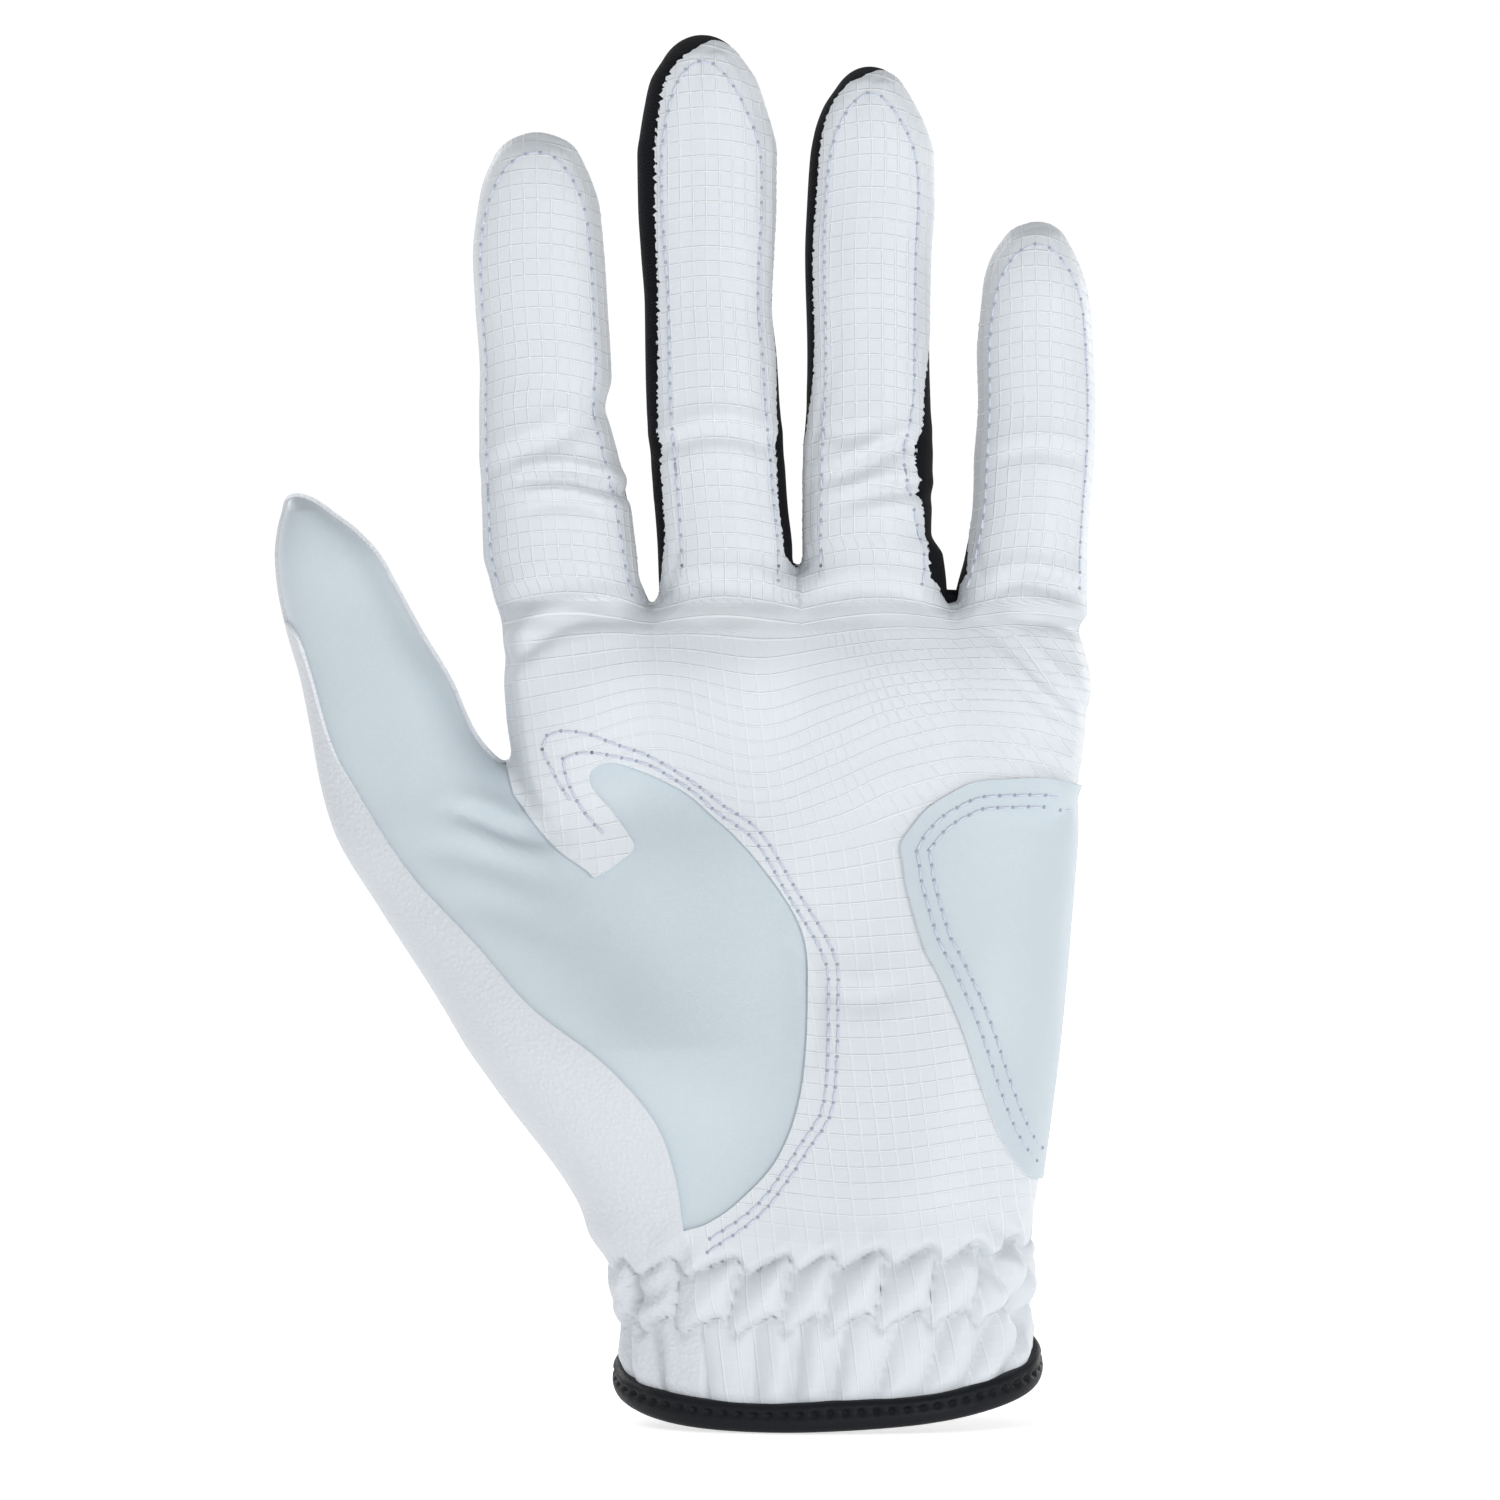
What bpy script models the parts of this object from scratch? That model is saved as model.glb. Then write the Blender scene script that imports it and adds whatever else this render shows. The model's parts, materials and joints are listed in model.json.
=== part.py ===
"""Left-hand golf glove, standing as if worn: palm towards -Y, fingers up +Z, thumb towards -X.

The origin is the centre of the wrist opening.  Every panel is a thin sheet of leather or stretch
fabric: an open lofted grid with a Solidify modifier.  Lengths inside the script are millimetres
and become metres in add_sheet() and at the pivots.
"""
import math

import bpy
import numpy as np

MM = 0.001

# ---- driving dimensions, millimetres ----------------------------------------------------------
LEATHER = 0.9            # panel thickness
STRETCH = 0.7            # fourchette and gusset thickness
GAP = 0.3                # clearance between neighbouring pieces
SEAM_INSET = 0.45        # each panel stops this far short of a shared seam line
FINGER_HALF_DEPTH = 9.2
THUMB_HALF_DEPTH = 10.2
SECTION_POWER = 2.4      # superellipse power of a finger's section
PIVOT_DEPTH = -3.0       # y of the knuckle axes, a little to the palm side of the finger's middle
BINDING_HEIGHT = 4.8
BINDING_THICK = 2.2
HEM_SLOPE = 0.30         # the hem rises towards the back of the wrist
HEM_ROLL = 0.04          # and a little towards the little finger
HEM_FADE_TOP = 26.0      # height at which the hem's slope has died out
WRIST_DEPTH = 21.0

# the hand part's section: depths in front of and behind y = 0, and how far in its edges are rounded
DEPTH_HEIGHTS_FRONT = (0, 20, 45, 75, 100, 125, 138)
FRONT_DEPTHS = (WRIST_DEPTH, 20, 17, 14, 12.5, 11, 9.4)
DEPTH_HEIGHTS_BACK = (0, 15, 50, 75, 100, 125, 138)
BACK_DEPTHS = (WRIST_DEPTH, 20, 16.5, 14.5, 13, 11.5, 9.4)
ROUNDING_HEIGHTS = (0, 20, 50, 75, 140)
ROUNDINGS = (26, 24, 17, 13, 10.5)
# mounds on the palm side: height, centre (x, z), half size
THUMB_MOUND = (6.5, (-34, 62), (22, 24))
HEEL_MOUND = (3.0, (24, 50), (15, 26))

# knuckle ranges, degrees
BASE_RANGE = 60.0
MIDDLE_RANGE = 75.0
THUMB_BASE_RANGE = 45.0
THUMB_TIP_RANGE = 65.0

# fingers: base knuckle (x, z), tip (x, z), length from base to middle knuckle, half-widths at
# the base knuckle, middle knuckle and near the tip, dome length, and the sides with a fourchette
FINGERS = {
    "index": dict(base=(-43.2, 137.5), tip=(-46.3, 206.0), middle=20.5, widths=(12.2, 10.5, 10.1),
                  dome=11.5, strips=("inner",), seam=68.0),
    "middle": dict(base=(-16.9, 141.5), tip=(-20.3, 221.9), middle=20.5, widths=(11.0, 10.9, 11.2),
                   dome=18.0, strips=("outer", "inner"), seam=62.0),
    "ring": dict(base=(6.3, 141.5), tip=(6.4, 216.8), middle=19.5, widths=(11.0, 10.3, 10.2),
                 dome=15.0, strips=("outer", "inner"), seam=62.0),
    "little": dict(base=(31.4, 137.5), tip=(33.2, 191.7), middle=17.5, widths=(9.9, 9.5, 9.2),
                   dome=13.0, strips=("outer",), seam=68.0),
}
THUMB = dict(base=(-66.5, 102.1), tip=(-85.4, 148.3), middle=21.0, widths=(13.4, 11.2, 10.9),
             dome=28.0)

# silhouette of the hand part, (x, z) from the hem upwards
THUMB_OUTER = [(-33.0, -10.0), (-33.0, 19.0), (-34.5, 23.5), (-39.3, 30.4), (-42.3, 38.4), (-50.8, 50.4),
               (-62.3, 66.4), (-72.0, 82.4), (-79.0, 94.4), (-82.3, 106.4), (-86.0, 122.4)]
THUMB_INNER = [(-62.5, 122.4), (-59.1, 114.4), (-50.0, 99.8)]
INDEX_SIDE = [(-50.0, 99.8), (-51.8, 112.0), (-53.5, 130.4), (-55.4, 138.4), (-55.9, 155.0)]
LITTLE_SIDE = [(33.2, -10.0), (33.2, 14.0), (31.9, 22.0), (34.2, 36.0), (36.6, 58.4), (39.3, 86.4),
               (39.6, 102.4), (41.0, 118.4), (40.0, 126.4), (41.2, 134.4), (41.9, 155.0)]

# border between the thumb leather and the palm panel, bottom to top
THENAR_INNER = [(-21.0, 31.8), (-11.1, 39.8), (-6.0, 48.5), (-3.9, 60.0), (-4.0, 74.0), (-9.4, 86.9),
                (-20.7, 98.4), (-36.0, 104.9)]
PALM_SEAM_X = -20.7      # seam between palm panel and thumb-side panel below the thumb leather

# rows of the thumb leather: (left end, right end), fanning round from level to square on the thumb
THENAR_ROWS = [
    ((-23.1, 31.6), (-21.6, 31.9)), ((-24.6, 40.6), (-11.1, 39.8)), ((-27.9, 49.1), (-6.0, 48.5)),
    ((-35.8, 58.1), (-3.9, 60.0)), ((-47.0, 66.7), (-4.0, 74.0)), ((-56.1, 76.8), (-9.4, 86.9)),
    ((-62.8, 83.5), (-20.7, 98.4)), ((-67.0, 88.2), (-36.0, 104.9)), ((-71.6, 93.4), (-50.2, 100.0)),
    ((-76.2, 98.4), (-54.0, 106.8)),
]
# rows of the thumb-side panel: (front border, silhouette, border on the back)
THUMB_SIDE_ROWS = [
    ((-20.7, 5.1), (-33.0, 5.1), (-26.0, 5.1)), ((-20.7, 18.0), (-33.0, 18.0), (-26.3, 18.0)),
    ((-22.5, 30.0), (-39.0, 30.0), (-27.0, 30.0)), ((-24.6, 40.6), (-43.8, 40.6), (-28.5, 42.0)),
    ((-27.9, 49.1), (-50.0, 49.3), (-31.0, 52.0)), ((-35.8, 58.1), (-56.6, 58.6), (-34.0, 62.0)),
    ((-47.0, 66.7), (-64.0, 69.0), (-38.0, 72.0)), ((-56.1, 76.8), (-70.4, 79.7), (-43.0, 82.0)),
    ((-62.8, 83.5), (-74.5, 86.7), (-46.5, 90.0)), ((-67.0, 88.2), (-76.7, 90.5), (-49.0, 96.0)),
    ((-71.6, 93.4), (-79.0, 94.4), (-50.2, 100.0)), ((-76.2, 98.4), (-80.2, 97.6), (-54.0, 106.8)),
]
CROTCH_TAB_ROWS = [
    ((-49.0, 104.4), (-35.0, 104.4)), ((-46.6, 99.8), (-37.2, 100.6)), ((-45.0, 94.6), (-33.6, 95.0)),
    ((-41.5, 90.4), (-32.2, 91.0)), ((-38.2, 88.0), (-34.6, 88.4)),
]
HEEL_LEFT = [(33.6, 39.2), (29.6, 41.4), (24.8, 49.0), (20.4, 62.6), (16.9, 72.0), (13.4, 84.0),
             (11.2, 92.0), (15.6, 97.8), (21.6, 101.4), (28.0, 102.6)]
HEEL_TOP = 102.3
HEEL_BOTTOM = 39.6
HEEL_EDGE_TRIM = 0.8     # the patch stops this far short of the silhouette

# back of the hand
THUMB_BACK_SEAM = [(-26.0, 5.1), (-27.0, 30.0), (-31.0, 52.0), (-38.0, 72.0), (-46.5, 90.0), (-50.0, 99.8)]
PALM_WRAP = 5.0          # how far the palm panel wraps round the little-finger edge
SLIT_X = 1.5
SLIT_TOP = 56.0
SLIT_HALF_WIDTH = 2.6
INSERT_BOTTOM = 108.0
INSERT_TOP = 121.0

# closure
TAB_BOTTOM = 21.0
TAB_TOP = 47.0
TAB_HINGE_X = -8.0
TAB_END_X = 27.0
TAB_THICK = 1.3
LOOP_THICK = 0.9
HOOK_THICK = 0.7
TAB_CORNER = 6.0
SEWN_LENGTH = 9.0        # the part of the tab sewn to the back panel
HINGE_ABOVE = 0.1        # the hinge line lies this far above the tab's outer face
LOOP_X = (7.2, 26.5)
LOOP_SHOW = 0.5          # the loop patch is this much wider than the tab on each side
HOOK_X = (8.2, 23.5)
HOOK_INSET = 1.5
HOOK_CORNER = 3.0
TAB_RANGE = 150.0

ELASTIC_HEIGHTS = {"wrist_elastic_upper": 26.5, "wrist_elastic_lower": 17.0}
ELASTIC_WIDTH = 5.0
ELASTIC_THICK = 0.7
ELASTIC_TRIM = 3.0       # the bands stop this far short of the silhouette

# roughness by material
SMOOTH_ROUGH = 0.55
GRID_ROUGH = 0.5
PEBBLE_ROUGH = 0.6
STRETCH_ROUGH = 0.8
BINDING_ROUGH = 0.7
CLOSURE_ROUGH = 0.9

# heights of the section rows, and the reach of small parts
PALM_HEIGHTS = (5.1, 12, 20, 30, 38, 48, 60, 72, 84, 94, 101, 104.8, 107, 116, 126)
INSERT_TRIM = 0.2
BACK_HEIGHTS = (5.1, 14, 24, 34, 45, SLIT_TOP, 66, 78, 90, 99.8, INSERT_BOTTOM - INSERT_TRIM)
KNUCKLE_ROW = 136.0      # the top row, before set_top() brings it to the knuckles
EDGE_REACH = 14.0        # how far in from the little-finger edge the wrap is measured
PATCH_LIFT = LEATHER + 5 * GAP  # a patch's outer face above the panel that it is sewn on
CROTCH_TAB_TRIM = (1.2, 0.3)
INSERT_MIDDLE = 114.5
ABOVE_INSERT = 128.0
KNUCKLE_CLEARANCE = 0.25
TOP_CLEARANCE = 0.6      # added at the fingers' base knuckles
THUMB_CLEARANCE = 0.5    # added at the thumb's base knuckle
BINDING_LIFT = 0.6       # the hem binding stands this far outside the panels
TIP_GAP = 0.12           # a finger's panels stop this far short of its tip
TIP_RADIUS = 8.0
SLIT_TAPE_REACHES = (0.3, 1.8, 3.2)
SLIT_END_HALF = 1.0      # half the width of the slit's closed end
SLANT = 0.7              # the corner pieces of the tape lean 45 degrees
SLIT_TAPE_HEIGHTS = (7.0, 20.0, 33.0, 46.0)
GUSSET_HALF = 9.0
GUSSET_HEIGHTS = (12, 24, 36, 48, 62)
SADDLE_DEPTHS = (-7.2, -3.6, 0.0, 3.6, 7.2)
SADDLE_HALF = 2.0
SADDLE_SAG = 1.5
SADDLE_EDGE_DROP = 1.2
SADDLE_DROP = 5.0        # the gap's bottom lies this far below the lower of its two knuckles

WHITE_GRID = (0.86, 0.88, 0.91, 1.0)
WHITE_PEBBLE = (0.87, 0.88, 0.90, 1.0)
GREY_LEATHER = (0.64, 0.70, 0.74, 1.0)
BLACK_STRETCH = (0.012, 0.013, 0.016, 1.0)
WHITE_STRETCH = (0.78, 0.80, 0.82, 1.0)


# ---- scene helpers ----------------------------------------------------------------------------
def clear_scene():
    for obj in list(bpy.data.objects):
        bpy.data.objects.remove(obj, do_unlink=True)


def make_collection(name):
    collection = bpy.data.collections.new(name)
    bpy.context.scene.collection.children.link(collection)
    return collection


def material(name, colour, roughness):
    mat = bpy.data.materials.new(name)
    mat.use_nodes = True
    shader = mat.node_tree.nodes["Principled BSDF"]
    shader.inputs["Base Color"].default_value = colour
    shader.inputs["Roughness"].default_value = roughness
    return mat


def joint_empty(name, point, parent=None):
    """An empty on a joint's axis; point is (x, y, z) in millimetres."""
    empty = bpy.data.objects.new(name, None)
    empty.empty_display_size = 0.01
    GLOVE.objects.link(empty)
    empty.parent = parent
    place = np.array(point) * MM
    anchor = np.array(parent["place"][:]) if parent else np.zeros(3)
    empty["place"] = [float(v) for v in place]
    empty.location = place - anchor
    return empty


def add_sheet(name, grid, thickness, colour, roughness, inside, pivot=None, skip=()):
    """One panel: grid is rows x columns x 3 in millimetres, its outer face; inside is a point
    that the outer face looks away from; skip lists the (row, column) cells left open."""
    grid = np.asarray(grid, dtype=float)
    rows, columns = grid.shape[:2]
    origin = np.array(pivot["place"][:]) if pivot else np.zeros(3)
    points = grid.reshape(-1, 3) * MM - origin
    faces = []
    for row in range(rows - 1):
        for column in range(columns - 1):
            if (row, column) not in skip:
                first = row * columns + column
                faces.append((first, first + 1, first + columns + 1, first + columns))
    a, b, c = (points[[face[k] for face in faces]] for k in (0, 1, 2))
    outward = (a + c) / 2 + origin - np.asarray(inside) * MM
    if (np.cross(b - a, c - a) * outward).sum() < 0:
        faces = [face[::-1] for face in faces]
    mesh = bpy.data.meshes.new(name)
    mesh.from_pydata([tuple(p) for p in points], [], faces)
    obj = bpy.data.objects.new(name, mesh)
    GLOVE.objects.link(obj)
    obj.parent = pivot
    mesh.materials.append(material(name, colour, roughness))
    mesh.shade_smooth()
    shell = obj.modifiers.new("Thickness", "SOLIDIFY")
    shell.thickness = thickness * MM
    shell.offset = -1.0
    shell.use_even_offset = True
    return obj


def resample(points, count):
    """count points evenly spaced along a polyline."""
    points = np.asarray(points)
    steps = np.linalg.norm(np.diff(points, axis=0), axis=1)
    along = np.concatenate([[0.0], np.cumsum(steps)])
    wanted = np.linspace(0.0, along[-1], count)
    return np.stack([np.interp(wanted, along, points[:, k]) for k in range(3)], axis=1)


def lift(grid, distance, inside):
    """Move a grid along its own normals, away from the point inside."""
    grid = np.asarray(grid, dtype=float)
    down = np.gradient(grid, axis=0)
    across = np.gradient(grid, axis=1)
    normal = np.cross(down, across)
    normal /= np.linalg.norm(normal, axis=2, keepdims=True)
    if (normal * (grid - np.asarray(inside))).sum() < 0:
        normal = -normal
    return grid + normal * distance


# ---- the hand's surface -----------------------------------------------------------------------
SILHOUETTE = [np.array(THUMB_OUTER), np.array(THUMB_INNER), np.array(INDEX_SIDE), np.array(LITTLE_SIDE)]


def edge_distance(points):
    """Distance of each (x, z) from the hand's silhouette."""
    best = np.full(len(points), 1e9)
    for line in SILHOUETTE:
        for start, end in zip(line[:-1], line[1:]):
            run = end - start
            along = np.clip(((points - start) @ run) / (run @ run), 0.0, 1.0)
            best = np.minimum(best, np.linalg.norm(points - start - along[:, None] * run, axis=1))
    return best


def bump(points, centre, size):
    offset = (points - np.array(centre)) / np.array(size)
    return np.exp(-(offset ** 2).sum(axis=1))


def surface(points, side):
    """The outer skin at each (x, z): side is -1 on the palm and +1 on the back."""
    points = np.asarray(points, dtype=float)
    height = points[:, 1]
    rounding = np.interp(height, ROUNDING_HEIGHTS, ROUNDINGS)
    share = np.clip(edge_distance(points) / rounding, 0.0, 1.0)
    profile = np.sqrt(1.0 - (1.0 - share) ** 2)
    if side < 0:
        depth = np.interp(height, DEPTH_HEIGHTS_FRONT, FRONT_DEPTHS)
        for rise, centre, size in (THUMB_MOUND, HEEL_MOUND):
            depth += rise * bump(points, centre, size)
    else:
        depth = np.interp(height, DEPTH_HEIGHTS_BACK, BACK_DEPTHS)
    y = side * depth * profile
    fade = np.clip(1.0 - height / HEM_FADE_TOP, 0.0, 1.0)
    z = height + fade * (HEM_SLOPE * (y + WRIST_DEPTH) + HEM_ROLL * points[:, 0])
    return np.stack([points[:, 0], y, z], axis=1)


def straight(start, end, count=60):
    """Points on a line in (x, z), denser towards both ends, where the skin turns away."""
    along = (1.0 - np.cos(np.pi * np.linspace(0.0, 1.0, count))) / 2.0
    return np.array(start) + along[:, None] * (np.array(end) - np.array(start))


def on_line(line, height):
    """x of a border line at a height."""
    line = np.array(line)
    return float(np.interp(height, line[:, 1], line[:, 0]))


def trim(points, start, end):
    """Cut a little off both ends of a polyline."""
    fine = resample(points, 300)
    steps = np.linalg.norm(np.diff(fine, axis=0), axis=1)
    along = np.concatenate([[0.0], np.cumsum(steps)])
    keep = np.linspace(start, along[-1] - end, 300)
    return np.stack([np.interp(keep, along, fine[:, k]) for k in range(3)], axis=1)


def notch(y, full_range, pivot_depth=PIVOT_DEPTH):
    """How far a knuckle's edge stands back from its axis so that the halves never meet."""
    reach = np.maximum(0.0, pivot_depth - np.asarray(y))
    return reach * math.tan(math.radians(full_range) / 2.0) + KNUCKLE_CLEARANCE


def knuckle_height(x):
    bases = [f["base"] for f in FINGERS.values()]
    return np.interp(x, [b[0] for b in bases], [b[1] for b in bases])


def set_top(row):
    """Bring a panel's last row to the base knuckles' line."""
    row = np.array(row)
    row[:, 2] = knuckle_height(row[:, 0]) - notch(row[:, 1], BASE_RANGE) - TOP_CLEARANCE
    return row


# ---- panels of the hand -----------------------------------------------------------------------
def palm_front_border(height):
    """x of the palm panel's thumb-side border at a height."""
    if height < THENAR_INNER[0][1]:
        return PALM_SEAM_X
    if height <= THENAR_INNER[-1][1]:
        return on_line(THENAR_INNER, height)
    return on_line(INDEX_SIDE, height)


def palm_row(height, count):
    right = on_line(LITTLE_SIDE, height)
    left = palm_front_border(height)
    front = surface(straight((left, height), (right, height)), -1)
    back = surface(straight((right, height), (right - EDGE_REACH, height)), 1)
    steps = np.linalg.norm(np.diff(back, axis=0), axis=1)
    along = np.concatenate([[0.0], np.cumsum(steps)])
    back = back[along <= PALM_WRAP]
    return resample(trim(np.concatenate([front, back[1:]]), 2 * SEAM_INSET, SEAM_INSET), count)


def build_palm_panel():
    heights = PALM_HEIGHTS
    rows = [palm_row(h, 17) for h in heights]
    rows.append(set_top(palm_row(KNUCKLE_ROW, 17)))
    return add_sheet("palm_panel", rows, LEATHER, WHITE_GRID, GRID_ROUGH, (0, 0, 60))


def shift_to_knuckle(row, spec, full_range):
    """Move a row on the thumb's base knuckle line back by the notch."""
    axis = limb_axes(spec)[0]
    back = notch(row[:, 1], full_range) + THUMB_CLEARANCE
    return row - back[:, None] * np.array([axis[0], 0.0, axis[1]])


def build_thumb_leather():
    rows = []
    for left, right in THENAR_ROWS:
        rows.append(resample(trim(surface(straight(left, right), -1), SEAM_INSET, 2 * SEAM_INSET), 9))
    rows[-1] = shift_to_knuckle(rows[-1], THUMB, THUMB_BASE_RANGE)
    return add_sheet("thumb_leather_base", rows, LEATHER, GREY_LEATHER, SMOOTH_ROUGH, (-40, 0, 70))


def build_thumb_side_panel():
    rows = []
    for front_end, edge, back_end in THUMB_SIDE_ROWS:
        front = surface(straight(front_end, edge), -1)
        back = surface(straight(edge, back_end), 1)
        rows.append(resample(trim(np.concatenate([front, back[1:]]), SEAM_INSET, SEAM_INSET), 13))
    rows[-1] = shift_to_knuckle(rows[-1], THUMB, THUMB_BASE_RANGE)
    return add_sheet("thumb_side_panel", rows, LEATHER, WHITE_PEBBLE, PEBBLE_ROUGH, (-45, 0, 60))


def build_crotch_tab():
    rows = [resample(trim(surface(straight(a, b), -1), *CROTCH_TAB_TRIM), 5) for a, b in CROTCH_TAB_ROWS]
    rows = lift(rows, PATCH_LIFT, (-40, 20, 95))
    return add_sheet("thumb_crotch_tab", rows, LEATHER, WHITE_GRID, PEBBLE_ROUGH, (-40, 20, 95))


def build_heel_patch():
    rows = []
    for height in np.linspace(HEEL_BOTTOM, HEEL_TOP, 9):
        left = (on_line(HEEL_LEFT, height), height)
        right = (on_line(LITTLE_SIDE, height), height)
        rows.append(resample(trim(surface(straight(left, right), -1), 0.0, HEEL_EDGE_TRIM), 7))
    rows = lift(rows, PATCH_LIFT, (10, 10, 70))
    return add_sheet("heel_patch", rows, LEATHER, GREY_LEATHER, SMOOTH_ROUGH, (10, 10, 70))


def back_row(height, count_left, count_right, slit):
    """A row across the back, from the thumb seam to the palm panel's wrap, with the slit's gap."""
    if height < THUMB_BACK_SEAM[-1][1]:
        left = on_line(THUMB_BACK_SEAM, height)
    else:
        left = on_line(INDEX_SIDE, height)
    right = on_line(LITTLE_SIDE, height)
    edge = surface(straight((right, height), (right - EDGE_REACH, height)), 1)
    steps = np.linalg.norm(np.diff(edge, axis=0), axis=1)
    along = np.concatenate([[0.0], np.cumsum(steps)])
    right = float(np.interp(PALM_WRAP, along, edge[:, 0]))
    near = surface(straight((left, height), (SLIT_X - slit, height)), 1)
    far = surface(straight((SLIT_X + slit, height), (right, height)), 1)
    near = resample(trim(near, SEAM_INSET, 0.0), count_left)
    far = resample(trim(far, 0.0, SEAM_INSET), count_right)
    return np.concatenate([near, far])


def slit_half_width(height):
    return max(0.8, SLIT_HALF_WIDTH * (1.0 - 0.6 * height / SLIT_TOP))


def build_back_panel():
    heights = BACK_HEIGHTS
    left_count, right_count = 7, 6
    rows = [back_row(h, left_count, right_count, slit_half_width(h)) for h in heights]
    slit_rows = [row for row, height in enumerate(heights[:-1]) if height < SLIT_TOP]
    skip = {(row, left_count - 1) for row in slit_rows}
    return add_sheet("back_panel", rows, LEATHER, WHITE_PEBBLE, PEBBLE_ROUGH, (0, 0, 60), skip=skip)


def build_knuckle_pieces():
    heights = (INSERT_BOTTOM + INSERT_TRIM, INSERT_MIDDLE, INSERT_TOP - INSERT_TRIM)
    insert = [back_row(h, 6, 6, 2.0) for h in heights]
    add_sheet("knuckle_stretch_insert", insert, STRETCH, WHITE_STRETCH, STRETCH_ROUGH, (0, 0, 114))
    upper = [back_row(h, 9, 8, 2.0) for h in (INSERT_TOP + INSERT_TRIM, ABOVE_INSERT)]
    upper.append(set_top(back_row(KNUCKLE_ROW, 9, 8, 2.0)))
    add_sheet("back_knuckle_panel", upper, LEATHER, WHITE_PEBBLE, PEBBLE_ROUGH, (0, 0, 128))


def ring_path(height, count, start_x, end_x):
    """Round the wrist at a height: from start_x on the back, by the little-finger edge, the palm
    and the thumb edge, to end_x on the back."""
    left = on_line(THUMB_OUTER, height)
    right = on_line(LITTLE_SIDE, height)
    back_right = surface(straight((start_x, height), (right, height)), 1)
    front = surface(straight((right, height), (left, height)), -1)
    back_left = surface(straight((left, height), (end_x, height)), 1)
    return resample(np.concatenate([back_right, front[1:], back_left[1:]]), count)


def build_cuff_binding():
    start, end = SLIT_X + SLIT_HALF_WIDTH, SLIT_X - SLIT_HALF_WIDTH
    rows = [ring_path(h, 41, start, end) for h in (SEAM_INSET, BINDING_HEIGHT / 2, BINDING_HEIGHT)]
    rows = lift(rows, BINDING_LIFT, (0, 0, 5))
    return add_sheet("cuff_binding", rows, BINDING_THICK, BLACK_STRETCH, BINDING_ROUGH, (0, 0, 5))


def build_elastics():
    for name, height in ELASTIC_HEIGHTS.items():
        rows = []
        for level in (height - ELASTIC_WIDTH / 2, height + ELASTIC_WIDTH / 2):
            left, right = on_line(THUMB_OUTER, level), on_line(LITTLE_SIDE, level)
            row = surface(straight((left, level), (right, level)), -1)
            rows.append(resample(trim(row, ELASTIC_TRIM, ELASTIC_TRIM), 17))
        rows = lift(rows, -LEATHER - GAP, (0, 0, height))
        add_sheet(name, rows, ELASTIC_THICK, WHITE_STRETCH, CLOSURE_ROUGH, (0, 0, height))


def build_slit_pieces():
    """Binding round the slit's edges and the stretch gusset that closes the slit underneath."""
    path = []
    for height in SLIT_TAPE_HEIGHTS:
        path.append((SLIT_X - slit_half_width(height), height, -1.0, 0.0))
    path.append((SLIT_X - SLIT_END_HALF, SLIT_TOP, -SLANT, SLANT))
    path.append((SLIT_X + SLIT_END_HALF, SLIT_TOP, SLANT, SLANT))
    for height in SLIT_TAPE_HEIGHTS[::-1]:
        path.append((SLIT_X + slit_half_width(height), height, 1.0, 0.0))
    rows = []
    for x, z, dx, dz in path:
        points = [(x + dx * reach, z + dz * reach) for reach in SLIT_TAPE_REACHES]
        rows.append(surface(points, 1))
    rows = lift(rows, STRETCH + GAP, (0, 0, 30))
    add_sheet("slit_binding", rows, STRETCH, BLACK_STRETCH, BINDING_ROUGH, (0, 0, 30))
    gusset = [surface(straight((SLIT_X - GUSSET_HALF, h), (SLIT_X + GUSSET_HALF, h), 5), 1)
              for h in GUSSET_HEIGHTS]
    gusset = lift(gusset, -LEATHER - GAP, (0, 0, 35))
    add_sheet("slit_gusset", gusset, STRETCH, BLACK_STRETCH, STRETCH_ROUGH, (0, 0, 35))


# ---- closure tab ------------------------------------------------------------------------------
def back_patch(x_from, x_to, z_from, z_to, columns, lift_by, corner=0.0):
    """A patch on the back: its far end narrows by corner, which rounds the end off."""
    rows = []
    for share in np.linspace(0.0, 1.0, 5):
        row = []
        for x in np.linspace(x_from, x_to, columns):
            cut = corner * max(0.0, (x - x_from) / (x_to - x_from) - 0.8) / 0.2
            row.append((x, z_from + cut + share * (z_to - z_from - 2 * cut)))
        rows.append(surface(row, 1))
    return lift(rows, lift_by, (0, 0, (z_from + z_to) / 2))


def tab_lift():
    """How far the tab's outer face stands off the back panel."""
    return GAP + LOOP_THICK + GAP + HOOK_THICK + GAP + TAB_THICK


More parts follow.
